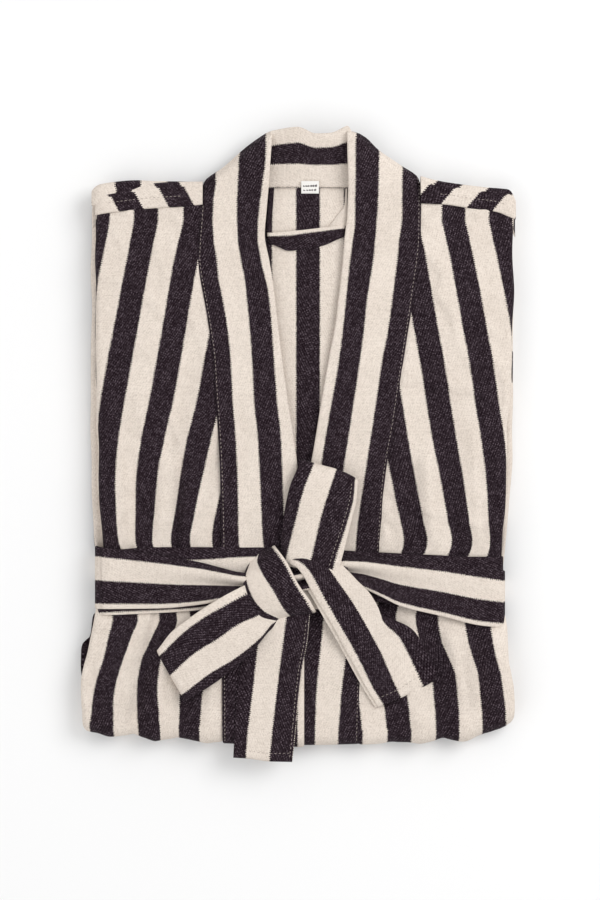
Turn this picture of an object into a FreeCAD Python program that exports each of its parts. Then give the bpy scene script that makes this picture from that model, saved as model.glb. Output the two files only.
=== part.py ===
"""A striped kimono bathrobe, folded into a flat packet and tied round with its own belt.

The packet lies on its back on a table: +Z is up, +Y points to the collar, +X is to the right of
someone looking down on it. The origin is on the table under the middle of the whole object.
The front panels, the collar band and the back panel run down the packet, turn under at the
bottom fold and run back up beneath it, with the two sleeves folded in between. The belt goes
round the waist twice and is tied in a bow of two loops and two tails, which can be lifted.
All sizes are in millimetres.
"""

import FreeCAD, Part

import math
import os

import Sketcher

SIZES = {
    # the folded packet, seen from above
    "half_shoulder": 175.0,  # half width at the shoulders
    "half_waist": 165.0,  # half width where the belt pulls it in
    "half_bottom": 182.0,  # half width at the bottom fold
    "shoulder_y": 218.0,  # the shoulder fold
    "fold_y": -250.0,  # the bottom fold
    "hem_y": 200.0,  # the hem, under the packet
    "flare_start_y": -190.0,  # where the packet has widened again below the belt
    # layers, from the table up
    "packet_height": 24.0,  # table to the top of the front panels
    "front_ply": 6.0,  # front panel with the side fold that lies under it
    "back_ply": 2.5,  # back panel
    "band_rise": 1.0,  # the doubled collar band stands this much above the panel
    "ply_gap": 0.3,  # air between two layers
    "side_inset": 7.0,  # the back panel's edge lies this far inside the fold
    # collar band
    "seam_top": 82.0,  # seam between band and panel, from the middle, at the shoulder
    "seam_chest": 70.0,  # the same at chest height
    "seam_waist": 64.0,  # the same from the waist down
    "chest_y": 60.0,
    "crossing_y": -40.0,  # where the two lapels meet
    "lap_x": 5.0,  # the left lapel's edge below the crossing
    "neck_left": 30.0,  # neck opening, left of the middle
    "neck_right": 41.0,  # neck opening, right of the middle
    "neck_low_y": 160.0,  # the opening starts to narrow here
    "collar_top": 262.5,
    "collar_half_top": 35.0,  # half width of the collar's flat top
    "collar_top_x": 8.0,  # middle of the collar's flat top
    "seam_y": 215.0,  # back neck seam
    "shoulder_wrap": 26.0,  # how far the back panel comes over the shoulder to the front
    "wrap_ply": 1.6,
    # belt
    "belt_width": 51.0,
    "belt_ply": 1.8,
    "upper_turn_y": -86.0,  # upper edge of the inner turn
    "lower_turn_y": -100.0,  # upper edge of the outer turn
    "groove_room": 2.0,  # room beside the belt in the groove under the packet
    # knot and bow
    "knot_x": -15.0,
    "knot_y": -115.0,
    "knot_half_x": 22.0,
    "knot_half_y": 24.0,
    "knot_height": 16.0,
    "knot_round": 7.0,
    "strap_root": 34.0,  # width of a loop where it leaves the knot
    "tail_root": 28.0,  # width of a tail where it leaves the knot
    "strap_spread": 35.0,  # length over which a strap widens to the belt's width
    "loop_gap": 8.0,  # air inside a bow loop
    "top_loop_length": 68.0,
    "left_loop_length": 87.0,
    "right_tail_length": 111.0,
    "down_tail_length": 112.2,
    # neck fittings
    "hanger_x": 4.5,  # middle of the hanging loop
    "hanger_width": 65.0,
    "hanger_drop": 50.0,
    "hanger_arm": 7.0,  # width of its two arms
    "hanger_bar": 15.0,  # width of its cross bar
    "hanger_ply": 1.8,
    "label_x": 9.0,
    "label_width": 15.0,
    "label_drop": 11.0,
    "label_ply": 0.6,
    "label_above_seam": 5.0,
}

SHEET = "Sizes"
ACROSS = FreeCAD.Vector(1, 0, 0)
ALONG = FreeCAD.Vector(0, 1, 0)

doc = FreeCAD.newDocument("Bathrobe")
sheet = doc.addObject("Spreadsheet::Sheet", SHEET)
for row, (alias, number) in enumerate(SIZES.items(), 1):
    sheet.set(f"A{row}", str(number))
    sheet.setAlias(f"A{row}", alias)
doc.recompute()


def cell(alias):
    """The name by which an expression reads one size from the sheet."""
    return f"{SHEET}.{alias}"


def size(alias):
    """One size from the sheet, as a number."""
    return float(getattr(sheet, alias))


def formula(text):
    """An expression in which each word that is a size is read from the sheet."""
    words = []
    for word in text.split():
        words.append(cell(word) if word in SIZES else word)
    return " ".join(words)


# Heights that several pieces share, as expressions in the sheet's sizes.
TOP_FRONT = "packet_height"
UNDER_FRONT = "( packet_height - front_ply )"
TOP_BAND = "( packet_height + band_rise )"
TOP_BACK = "( packet_height - front_ply - ply_gap )"
UNDER_BACK = "( packet_height - front_ply - ply_gap - back_ply )"
LOW_BACK = "( front_ply + band_rise + ply_gap )"
TOP_LOW_BACK = "( front_ply + band_rise + ply_gap + back_ply )"
GROOVE = "( 2 * belt_ply + 2 * ply_gap )"
TOP_OUTER_TURN = "( packet_height + band_rise + 2 * ply_gap + 2 * belt_ply )"


def new_body(label):
    """An empty body, with the label that will name its file."""
    body = doc.addObject("PartDesign::Body", label)
    body.Label = label
    return body


def origin_plane(body, role):
    """The origin plane of a body, by its role."""
    for feature in body.Origin.OriginFeatures:
        if feature.Role == role:
            return feature
    raise ValueError(role)


def outline(body, plane, name, loops, offset="0"):
    """A sketch of closed polygons, each corner held by two distances read from the sheet."""
    sketch = body.newObject("Sketcher::SketchObject", name)
    sketch.AttachmentSupport = (origin_plane(body, plane), [""])
    sketch.MapMode = "FlatFace"
    sketch.setExpression("AttachmentOffset.Base.z", formula(offset))
    for corners in loops:
        places = []
        for across, up in corners:
            x = sketch.evalExpression(formula(across))
            y = sketch.evalExpression(formula(up))
            places.append(FreeCAD.Vector(float(x), float(y), 0))
        first = sketch.GeometryCount
        count = len(places)
        for i in range(count):
            sketch.addGeometry(Part.LineSegment(places[i], places[(i + 1) % count]), False)
        for i in range(count):
            following = first + (i + 1) % count
            sketch.addConstraint(Sketcher.Constraint("Coincident", first + i, 2, following, 1))
        for i, (across, up) in enumerate(corners):
            for kind, text, value in (
                ("DistanceX", across, places[i].x),
                ("DistanceY", up, places[i].y),
            ):
                number = sketch.addConstraint(
                    Sketcher.Constraint(kind, -1, 1, first + i, 1, value)
                )
                sketch.setExpression(f"Constraints[{number}]", formula(text))
    return sketch


def pad(body, sketch, length, midplane=False):
    """A pad whose length is read from the sheet."""
    feature = body.newObject("PartDesign::Pad", f"{body.Name}_{sketch.Name}_pad")
    feature.Profile = sketch
    feature.setExpression("Length", formula(length))
    feature.Midplane = midplane
    doc.recompute()
    return feature


def pocket(body, sketch, reversed_way=False):
    """A pocket through everything on one side of its sketch, which has to remove something."""
    before = body.Shape.Volume
    feature = body.newObject("PartDesign::Pocket", f"{body.Name}_{sketch.Name}_pocket")
    feature.Profile = sketch
    feature.Type = "ThroughAll"
    feature.Reversed = reversed_way
    doc.recompute()
    if body.Shape.Volume > before - 1.0:
        raise ValueError(f"{feature.Name} cuts nothing")
    return feature


def edges_where(shape, test, along):
    """The names of the edges whose every vertex passes a test and which run along an axis."""
    names = []
    for i, edge in enumerate(shape.Edges, 1):
        run = edge.lastVertex().Point - edge.firstVertex().Point
        if all(test(vertex.Point) for vertex in edge.Vertexes):
            if along is None or run.normalize().cross(along).Length < 1e-6:
                names.append(f"Edge{i}")
    return names


def fillet(body, test, radius, along=None):
    """Rounds the edges of a body that pass a test."""
    tip = body.Tip
    names = edges_where(tip.Shape, test, along)
    feature = body.newObject("PartDesign::Fillet", f"{body.Name}_fillet{len(body.Group)}")
    feature.Base = (tip, names)
    feature.setExpression("Radius", formula(radius))
    doc.recompute()
    return feature


def near(value, target):
    """Whether two lengths are the same, to well under a cloth's thickness."""
    return abs(value - target) < 1e-3


def place(body, x, y, z, turn=0.0, dip=0.0):
    """Puts a body's own origin at a point, dipped down along its +X and then turned about +Z."""
    dipped = FreeCAD.Rotation(FreeCAD.Vector(0, 1, 0), dip)
    turned = FreeCAD.Rotation(FreeCAD.Vector(0, 0, 1), turn)
    body.Placement = FreeCAD.Placement(FreeCAD.Vector(x, y, z), turned * dipped)


def folded_cloth(label, start_x, end_x, low, high, ply, top_y, end_y, fold_shift="0"):
    """A layer that runs down the packet, turns under at the bottom fold and runs up to its hem.

    low and high are the heights of its lowest and highest faces, and fold_shift is how far
    inside the bottom fold its own turn lies.
    """
    body = new_body(label)
    fold = f"( fold_y + {fold_shift} )"
    section = outline(
        body,
        "YZ_Plane",
        "section",
        [
            [
                (top_y, high),
                (fold, high),
                (fold, low),
                (end_y, low),
                (end_y, f"{low} + {ply}"),
                (f"{fold} + {ply}", f"{low} + {ply}"),
                (f"{fold} + {ply}", f"{high} - {ply}"),
                (top_y, f"{high} - {ply}"),
            ]
        ],
        offset=start_x,
    )
    pad(body, section, f"{end_x} - ( {start_x} )")
    fold_at = section.evalExpression(formula(fold))
    inside = fold_at + section.evalExpression(formula(ply))
    fillet(body, lambda p: near(p.y, fold_at), f"0.49 * ( {high} - ( {low} ) )", ACROSS)
    inner_depth = f"( {high} - ( {low} ) - 2 * {ply} )"
    fillet(body, lambda p: near(p.y, inside), f"0.45 * {inner_depth}", ACROSS)
    return body


def side_corners(sign):
    """The corners of the packet's side, from the shoulder to the bottom fold."""
    return [
        (f"{sign} * half_shoulder", "shoulder_y + 1"),
        (f"{sign} * half_shoulder", "chest_y"),
        (f"{sign} * half_waist", "upper_turn_y + groove_room"),
        (f"{sign} * half_waist", "lower_turn_y - belt_width - groove_room"),
        (f"{sign} * half_bottom", "flare_start_y"),
        (f"{sign} * half_bottom", "fold_y - 1"),
    ]


def trim_side(body, sign):
    """Cuts a layer to the packet's outline on one side, all the way through."""
    corners = side_corners(sign)
    corners += [
        (f"{sign} * ( half_bottom + 20 )", "fold_y - 1"),
        (f"{sign} * ( half_bottom + 20 )", "shoulder_y + 1"),
    ]
    sketch = outline(body, "XY_Plane", "side", [corners], offset="-1")
    pocket(body, sketch, reversed_way=True)


def cut_groove(body):
    """Cuts the groove under the packet in which both turns of the belt lie."""
    sketch = outline(
        body,
        "XY_Plane",
        "groove",
        [
            [
                ("-1 * half_bottom - 20", "upper_turn_y + groove_room"),
                ("half_bottom + 20", "upper_turn_y + groove_room"),
                ("half_bottom + 20", "lower_turn_y - belt_width - groove_room"),
                ("-1 * half_bottom - 20", "lower_turn_y - belt_width - groove_room"),
            ]
        ],
        offset=GROOVE,
    )
    pocket(body, sketch)


def front_panel(label, sign):
    """One front panel: shoulder, side and bottom fold, cut along the seam of the collar band."""
    inner = f"{sign} * seam_waist"
    outer = f"{sign} * ( half_bottom + 1 )"
    start, end = (inner, outer) if sign > 0 else (outer, inner)
    body = folded_cloth(
        label, start, end, "0", TOP_FRONT, "front_ply", "shoulder_y - shoulder_wrap", "hem_y"
    )
    trim_side(body, sign)
    seam = outline(
        body,
        "XY_Plane",
        "seam",
        [
            [
                (f"{sign} * ( seam_waist - 1 )", "shoulder_y"),
                (f"{sign} * seam_top", "shoulder_y"),
                (f"{sign} * seam_chest", "chest_y"),
                (f"{sign} * seam_waist", "crossing_y"),
                (f"{sign} * ( seam_waist - 1 )", "crossing_y"),
            ]
        ],
        offset="packet_height / 2",
    )
    pocket(body, seam, reversed_way=True)
    cut_groove(body)
    return body


def lapel(label, sign):
    """One side of the collar band, from the neck's top corner down and round the bottom fold.

    Its seam edge follows the front panel and its free edge frames the neck opening. Below the
    crossing the left lapel ends at lap_x and the right one starts there.
    """
    neck = "neck_left" if sign < 0 else "neck_right"
    free = "lap_x" if sign < 0 else "( lap_x + ply_gap )"
    shy = f"{sign} * ( seam_top + 12 )"
    start, end = (shy, free) if sign < 0 else (free, shy)
    body = folded_cloth(
        label, start, end, "0", TOP_BAND, "( front_ply + band_rise )", "collar_top", "hem_y"
    )
    above = "packet_height / 2"
    seam_side = outline(
        body,
        "XY_Plane",
        "seam_side",
        [
            [
                (f"{sign} * ( seam_waist - ply_gap )", "fold_y - 1"),
                (f"{sign} * ( seam_waist - ply_gap )", "crossing_y"),
                (f"{sign} * ( seam_chest - ply_gap )", "chest_y"),
                (f"{sign} * ( seam_top - ply_gap )", "shoulder_y"),
                (f"collar_top_x + {sign} * collar_half_top", "collar_top"),
                (f"collar_top_x + {sign} * collar_half_top", "collar_top + 1"),
                (f"{sign} * ( seam_top + 20 )", "collar_top + 1"),
                (f"{sign} * ( seam_top + 20 )", "fold_y - 1"),
            ]
        ],
        offset=above,
    )
    pocket(body, seam_side, reversed_way=True)
    free_side = outline(
        body,
        "XY_Plane",
        "free_side",
        [
            [
                (f"{sign} * {neck}", "collar_top + 1"),
                (f"{sign} * {neck}", "neck_low_y"),
                (f"{free}", "crossing_y"),
                (f"{free} - {sign} * 60", "crossing_y"),
                (f"{free} - {sign} * 60", "collar_top + 1"),
            ]
        ],
        offset=above,
    )
    pocket(body, free_side, reversed_way=True)
    low_side = outline(
        body,
        "XY_Plane",
        "low_side",
        [
            [
                (f"{sign} * ( seam_waist - ply_gap )", "fold_y - 1"),
                (f"{sign} * ( seam_waist - ply_gap )", "collar_top + 1"),
                (f"{sign} * ( seam_top + 20 )", "collar_top + 1"),
                (f"{sign} * ( seam_top + 20 )", "fold_y - 1"),
            ]
        ],
        offset=above,
    )
    pocket(body, low_side)
    cut_groove(body)
    return body


def back_panel():
    """The back panel: in the neck opening, over both shoulders to the front, and round the fold."""
    body = folded_cloth(
        "back_panel",
        "-1 * half_bottom - 1",
        "half_bottom + 1",
        LOW_BACK,
        TOP_BACK,
        "back_ply",
        "seam_y",
        "hem_y - 4",
        fold_shift="( front_ply + band_rise + ply_gap )",
    )
    for sign in (-1, 1):
        corners = [(f"{x} - ( {sign} * side_inset )", y) for x, y in side_corners(sign)]
        corners += [
            (f"{sign} * ( half_bottom + 20 )", "fold_y - 1"),
            (f"{sign} * ( half_bottom + 20 )", "shoulder_y + 1"),
        ]
        sketch = outline(body, "XY_Plane", "side", [corners], offset="-1")
        pocket(body, sketch, reversed_way=True)
        wrap_top = f"( {TOP_FRONT} + ply_gap + wrap_ply )"
        inner_y = "( shoulder_y - shoulder_wrap + ply_gap )"
        hook = outline(
            body,
            "YZ_Plane",
            "wrap",
            [
                [
                    ("seam_y - 5", UNDER_BACK),
                    ("shoulder_y", UNDER_BACK),
                    ("shoulder_y", wrap_top),
                    ("shoulder_y - shoulder_wrap", wrap_top),
                    ("shoulder_y - shoulder_wrap", f"{TOP_FRONT} + ply_gap"),
                    (inner_y, f"{TOP_FRONT} + ply_gap"),
                    (inner_y, TOP_BACK),
                    ("seam_y - 5", TOP_BACK),
                ]
            ],
            offset=f"{'seam_top + 2 * ply_gap' if sign > 0 else '-1 * half_shoulder + 4'}",
        )
        pad(body, hook, "half_shoulder - 4 - seam_top - 2 * ply_gap")
    return body


def sleeve(label, sign):
    """A sleeve, pressed flat and folded down behind the body, between the back panel's layers."""
    body = new_body(label)
    plan = outline(
        body,
        "XY_Plane",
        "plan",
        [
            [
                (f"{sign} * 2", "seam_y - 8"),
                (f"{sign} * ( half_shoulder - 1 )", "seam_y - 8"),
                (f"{sign} * ( half_shoulder - 1 )", "chest_y"),
                (f"{sign} * ( half_waist - 2 )", "upper_turn_y + groove_room"),
                (f"{sign} * ( half_waist - 2 )", "fold_y + 24"),
                (f"{sign} * 2", "fold_y + 24"),
            ]
        ],
        offset=f"{TOP_LOW_BACK} + ply_gap",
    )
    thick = f"( {UNDER_BACK} - {TOP_LOW_BACK} - 2 * ply_gap )"
    pad(body, plan, thick)
    fillet(body, lambda p: near(abs(p.x), size("half_shoulder") - 1), f"0.45 * {thick}", ALONG)
    return body


def neck_band():
    """The back of the collar band, which stands up from the neck seam and lies back."""
    body = new_body("collar_band_neck")
    plan = outline(
        body,
        "XY_Plane",
        "plan",
        [
            [
                ("-1 * seam_top + 3", "seam_y + ply_gap"),
                ("seam_top - 3", "seam_y + ply_gap"),
                ("collar_top_x + collar_half_top - 2", "collar_top - 1"),
                ("collar_top_x - collar_half_top + 2", "collar_top - 1"),
            ]
        ],
        offset=UNDER_BACK,
    )
    pad(body, plan, "back_ply - band_rise")
    return body


def belt_turn(label, top_y, grow):
    """One turn of the belt round the waist: a flat ring that lies grow belt plies further out."""
    body = new_body(label)
    room = f"( ply_gap + {grow} * ( ply_gap + belt_ply ) )"
    low = f"( {1 - grow} * ( belt_ply + ply_gap ) )"
    high = f"( {TOP_BAND} + ply_gap + {grow} * ( belt_ply + ply_gap ) )"
    corners_out, corners_in = [], []
    for sign_x, height in ((-1, "low"), (1, "low"), (1, "high"), (-1, "high")):
        outer_z = low if height == "low" else f"{high} + belt_ply"
        inner_z = f"{low} + belt_ply" if height == "low" else high
        corners_out.append((f"{sign_x} * ( half_waist + {room} + belt_ply )", outer_z))
        corners_in.append((f"{sign_x} * ( half_waist + {room} )", inner_z))
    ring = outline(body, "XZ_Plane", "ring", [corners_out, corners_in], offset=f"-1 * ( {top_y} )")
    pad(body, ring, "belt_width")
    reach = size("half_waist")
    outside = reach + size("ply_gap") + 0.5 * size("belt_ply")
    fillet(body, lambda p: abs(p.x) > outside, "1.2", ALONG)
    return body


def knot():
    """The knot: the belt wrapped over itself into a soft, slightly oval lump."""
    body = new_body("belt_knot")
    count = 12
    corners = []
    for i in range(count):
        angle = 2 * math.pi * (i + 0.5) / count
        across, along = round(math.cos(angle), 6), round(math.sin(angle), 6)
        corners.append(
            (f"knot_x + {across} * knot_half_x", f"knot_y + {along} * knot_half_y")
        )
    plan = outline(body, "XY_Plane", "plan", [corners], offset=f"{TOP_OUTER_TURN} + ply_gap")
    pad(body, plan, "knot_height")
    top = body.Shape.BoundBox.ZMax
    fillet(body, lambda p: near(p.z, top), "knot_round")
    return body


def strap_plan(body, root, length, depth):
    """Narrows a strap where it leaves the knot: cuts both sides down from the belt's width."""
    for side in (-1, 1):
        wedge = outline(
            body,
            "XY_Plane",
            "wedge",
            [
                [
                    ("-1", f"{side} * {root} / 2"),
                    ("0", f"{side} * {root} / 2"),
                    ("strap_spread", f"{side} * belt_width / 2"),
                    ("strap_spread", f"{side} * ( belt_width / 2 + 5 )"),
                    ("-1", f"{side} * ( belt_width / 2 + 5 )"),
                ]
            ],
            offset=f"-1 * {depth} - 1",
        )
        pocket(body, wedge, reversed_way=True)


def tail(label, root, length):
    """A free end of the belt, as a flat strap. Its own origin is on the top edge at the knot."""
    body = new_body(label)
    side = outline(
        body,
        "XZ_Plane",
        "side",
        [[("0", "-1 * belt_ply"), (length, "-1 * belt_ply"), (length, "0"), ("0", "0")]],
    )
    pad(body, side, "belt_width", midplane=True)
    strap_plan(body, root, length, "belt_ply")
    return body


def bow_loop(label, root, length):
    """A loop of the bow: the belt runs out, turns over a round end and comes back above itself."""
    body = new_body(label)
    depth = "( loop_gap + 2 * belt_ply )"
    side = outline(
        body,
        "XZ_Plane",
        "side",
        [
            [
                ("0", f"-1 * {depth}"),
                (length, f"-1 * {depth}"),
                (length, "0"),
                ("0", "0"),
                ("0", "-1 * belt_ply"),
                (f"{length} - belt_ply", "-1 * belt_ply"),
                (f"{length} - belt_ply", f"-1 * {depth} + belt_ply"),
                ("0", f"-1 * {depth} + belt_ply"),
            ]
        ],
    )
    pad(body, side, "belt_width", midplane=True)
    end = size(length)
    fillet(body, lambda p: near(p.x, end), f"0.49 * {depth}", ALONG)
    inside = end - size("belt_ply")
    fillet(body, lambda p: near(p.x, inside), "0.45 * loop_gap", ALONG)
    strap_plan(body, root, length, depth)
    return body


def hanger_loop():
    """The loop that hangs the robe on a hook: two arms from the neck seam and a cross bar."""
    body = new_body("hanger_loop")
    left = "( hanger_x - hanger_width / 2 )"
    right = "( hanger_x + hanger_width / 2 )"
    top = "( seam_y - ply_gap )"
    foot = "( seam_y - hanger_drop )"
    plan = outline(
        body,
        "XY_Plane",
        "plan",
        [
            [
                (left, top),
                (left, foot),
                (right, foot),
                (right, top),
                (f"{right} - hanger_arm", top),
                (f"{right} - hanger_arm", f"{foot} + hanger_bar"),
                (f"{left} + hanger_arm", f"{foot} + hanger_bar"),
                (f"{left} + hanger_arm", top),
            ]
        ],
        offset=f"{TOP_BACK} + ply_gap",
    )
    pad(body, plan, "hanger_ply")
    return body


def neck_label():
    """The small woven label, sewn by its upper edge just above the neck seam."""
    body = new_body("neck_label")
    plan = outline(
        body,
        "XY_Plane",
        "plan",
        [
            [
                ("label_x - label_width / 2", "seam_y + label_above_seam - label_drop"),
                ("label_x + label_width / 2", "seam_y + label_above_seam - label_drop"),
                ("label_x + label_width / 2", "seam_y + label_above_seam"),
                ("label_x - label_width / 2", "seam_y + label_above_seam"),
            ]
        ],
        offset=f"{TOP_BACK} + ply_gap",
    )
    pad(body, plan, "label_ply")
    return body


def strap_dip(rise, length, y, heading):
    """How far a strap dips from the knot: down to the panels, or on to the belt's lower edge.

    rise is the height of its underside at the knot above the outer turn of the belt.
    """
    drop = rise + size("ply_gap") + size("belt_ply")
    dip = math.asin(drop / length)
    run = math.sin(math.radians(heading))
    if run < 0:
        edge = size("lower_turn_y") - size("belt_width")
        spread = abs(math.cos(math.radians(heading))) * size("belt_width") / 2
        over_belt = (y + spread - edge) / -run
        dip = min(dip, math.asin(rise / over_belt))
    return math.degrees(dip)


def straps():
    """The two bow loops and the two tails, each dipping from the knot on to the packet."""
    belt_top = size("packet_height") + size("band_rise") + 3 * size("ply_gap") + 2 * size("belt_ply")
    loop_depth = size("loop_gap") + 2 * size("belt_ply")
    one_ply = size("belt_ply")
    # label, builder, width at the knot, length, depth, rise, place around the knot, heading
    fits = [
        ("bow_loop_top", bow_loop, "strap_root", "top_loop_length", loop_depth,
         1.5, (0.64, 1.13), 70.0),
        ("bow_loop_left", bow_loop, "strap_root", "left_loop_length", loop_depth,
         3.2, (-1.05, -0.50), 221.0),
        ("belt_tail_right", tail, "strap_root", "right_tail_length", one_ply,
         3.2, (1.14, -0.50), -44.0),
        ("belt_tail_down", tail, "tail_root", "down_tail_length", one_ply,
         0.6, (0.0, -1.38), -97.5),
    ]
    hinges = {}
    for label, build, root, length, depth, rise, (across, along), heading in fits:
        body = build(label, root, length)
        x = size("knot_x") + across * size("knot_half_x")
        y = size("knot_y") + along * size("knot_half_y")
        z = belt_top + rise + depth
        place(body, x, y, z, heading, strap_dip(rise, size(length), y, heading))
        hinges[label] = (x, y, z, heading)
    return hinges


def main():
    """Builds every piece, checks it and writes one STEP file for each."""
    back_panel()
    front_panel("front_panel_left", -1)
    front_panel("front_panel_right", 1)
    lapel("collar_band_left", -1)
    lapel("collar_band_right", 1)
    neck_band()
    sleeve("sleeve_left", -1)
    sleeve("sleeve_right", 1)
    belt_turn("belt_turn_inner", "upper_turn_y", 0)
    belt_turn("belt_turn_outer", "lower_turn_y", 1)
    knot()
    hinges = straps()
    hanger_loop()
    neck_label()
    doc.recompute()

    for thing in doc.Objects:
        if "Invalid" in thing.State or "Error" in thing.State:
            raise ValueError(f"{thing.Name} is {thing.State}")
    os.makedirs("parts", exist_ok=True)
    for thing in doc.Objects:
        if thing.TypeId != "PartDesign::Body":
            continue
        shape = thing.Shape
        if shape.isNull() or not shape.isValid() or len(shape.Solids) != 1:
            raise ValueError(f"{thing.Label} has no single valid solid")
        shape.exportStep(os.path.join("parts", f"{thing.Label}.step"))
        box = shape.BoundBox
        print(
            f"{thing.Label:20s} x {box.XMin:7.1f} {box.XMax:7.1f}  y {box.YMin:7.1f} {box.YMax:7.1f}"
            f"  z {box.ZMin:5.1f} {box.ZMax:5.1f}  {shape.Volume / 1000:8.1f} cm3"
        )
    for label, (x, y, z, heading) in hinges.items():
        print(f"{label}: hinged at {x:.3f} {y:.3f} {z:.3f}, heading {heading}")


main()
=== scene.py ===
"""Visual model of a striped kimono bathrobe, folded to a flat packet and tied with its own belt.

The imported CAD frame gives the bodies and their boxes. Every cloth piece is built here as a
closed slab of cloth over a middle surface, in millimetres,
and written to its mesh in metres. A piece's UV map, named "cloth",
holds the distance across and along the stripes, so
the woven stripes follow the cloth wherever it goes.
"""

from __future__ import annotations

import logging
import math
from dataclasses import dataclass, field
from enum import Enum

import bmesh
import bpy
import numpy as np
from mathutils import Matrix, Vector

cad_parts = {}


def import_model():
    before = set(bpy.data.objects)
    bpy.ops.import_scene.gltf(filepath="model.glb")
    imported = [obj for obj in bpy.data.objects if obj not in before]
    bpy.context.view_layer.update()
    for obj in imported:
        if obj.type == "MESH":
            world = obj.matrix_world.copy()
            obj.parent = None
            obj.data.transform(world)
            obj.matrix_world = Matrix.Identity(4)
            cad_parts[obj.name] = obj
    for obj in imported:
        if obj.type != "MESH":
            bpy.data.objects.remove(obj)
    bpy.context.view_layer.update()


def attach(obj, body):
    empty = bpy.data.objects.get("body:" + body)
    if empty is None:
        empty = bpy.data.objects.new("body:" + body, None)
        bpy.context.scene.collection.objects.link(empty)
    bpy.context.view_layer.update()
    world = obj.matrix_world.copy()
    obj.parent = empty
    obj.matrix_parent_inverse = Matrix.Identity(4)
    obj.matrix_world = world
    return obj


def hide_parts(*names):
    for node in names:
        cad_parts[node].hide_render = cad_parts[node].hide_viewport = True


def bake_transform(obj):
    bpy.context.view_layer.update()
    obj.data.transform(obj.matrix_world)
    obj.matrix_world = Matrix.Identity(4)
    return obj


LOG = logging.getLogger("bathrobe")
MM = 0.001
STRIPE = 20.0
REPEAT = 2 * STRIPE
FOLD_STRENGTH = 1.9
SENSOR_WIDTH = 36.0
FLOOR_DROP = 0.0002
FLOOR_REACH = 4.0
Array = np.ndarray


class Side(Enum):
    """The two sides of the packet, seen from above with the collar at the top."""

    LEFT = -1.0
    RIGHT = 1.0


# ---------------------------------------------------------------- curves and surfaces


class Profile:
    """A smooth curve that passes through a few chosen (position, value) pairs."""

    def __init__(self, *pairs: tuple[float, float]) -> None:
        """Sorts the pairs and works out a slope at each that never overshoots.

        Args:
            pairs: the positions and their values, in any order.
        """
        ordered = sorted(pairs)
        self.at = np.array([p[0] for p in ordered], float)
        self.value = np.array([p[1] for p in ordered], float)
        step = np.diff(self.at)
        rise = np.diff(self.value) / step
        self.slope = np.zeros(len(ordered))
        if len(ordered) > 2:
            one, two = rise[:-1], rise[1:]
            same = one * two > 0
            safe = np.where(same, one + two, 1.0)
            self.slope[1:-1] = np.where(same, 2 * one * two / safe, 0.0)
        self.slope[0], self.slope[-1] = rise[0], rise[-1]

    def __call__(self, position: Array | float) -> Array:
        """The value at each position, held at the ends.

        Args:
            position: one position or an array of them.

        Returns:
            An array of the same shape.
        """
        p = np.clip(np.asarray(position, float), self.at[0], self.at[-1])
        i = np.clip(np.searchsorted(self.at, p, side="right") - 1, 0, len(self.at) - 2)
        step = self.at[i + 1] - self.at[i]
        t = (p - self.at[i]) / step
        a, b = self.value[i], self.value[i + 1]
        ka, kb = self.slope[i] * step, self.slope[i + 1] * step
        return (
            a * (2 * t**3 - 3 * t**2 + 1)
            + ka * (t**3 - 2 * t**2 + t)
            + b * (3 * t**2 - 2 * t**3)
            + kb * (t**3 - t**2)
        )


@dataclass(frozen=True)
class Fold:
    """A soft ridge in the cloth, or a hollow where its height is below zero."""

    start: tuple[float, float]
    end: tuple[float, float]
    width: float
    height: float

    def lift(self, x: Array, y: Array) -> Array:
        """How far the cloth stands proud at each point.

        Args:
            x: distances across the packet.
            y: distances along the packet.

        Returns:
            The lift at each point, in millimetres.
        """
        ax, ay = self.start
        dx, dy = self.end[0] - ax, self.end[1] - ay
        long = math.hypot(dx, dy)
        along = ((x - ax) * dx + (y - ay) * dy) / long**2
        off = ((x - ax) * dy - (y - ay) * dx) / long
        tail = np.clip(np.minimum(along + 0.35, 1.35 - along) / 0.45, 0, 1)
        return self.height * np.exp(-((off / self.width) ** 2)) * tail * tail * (3 - 2 * tail)


def ripple(x: Array, y: Array, seed: int, length: float, height: float) -> Array:
    """A gentle, uneven undulation, the same on every run.

    Args:
        x: first coordinate of each point.
        y: second coordinate of each point.
        seed: which undulation.
        length: typical distance between two crests.
        height: typical lift.

    Returns:
        The lift at each point.
    """
    draw = np.random.default_rng(seed)
    total = np.zeros(np.broadcast(x, y).shape)
    for _ in range(7):
        angle, phase = draw.uniform(0, 2 * math.pi, 2)
        rate = 2 * math.pi / (length * draw.uniform(0.7, 1.6))
        total = total + np.sin(rate * (x * math.cos(angle) + y * math.sin(angle)) + phase)
    return total * height / 3.5


def bell(x: Array | float, centre: float, width: float) -> Array:
    """A smooth bump of height one."""
    return np.exp(-(((np.asarray(x, float) - centre) / width) ** 2))


def ramp(x: Array | float, low: float, high: float) -> Array:
    """A smooth step from zero at low to one at high."""
    t = np.clip((np.asarray(x, float) - low) / (high - low), 0, 1)
    return t * t * (3 - 2 * t)


def across(count: int, width: float) -> Array:
    """Positions from 0 to 1 across a cloth, closer together at its two edges.

    Args:
        count: how many positions lie between the edges.
        width: the cloth's rough width in millimetres.

    Returns:
        The positions, as an array.
    """
    near = np.array([0.0, 0.12, 0.4, 0.9, 1.7]) / width
    middle = np.linspace(2.8 / width, 1 - 2.8 / width, count)
    return np.concatenate([near, middle, 1 - near[::-1]])


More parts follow.
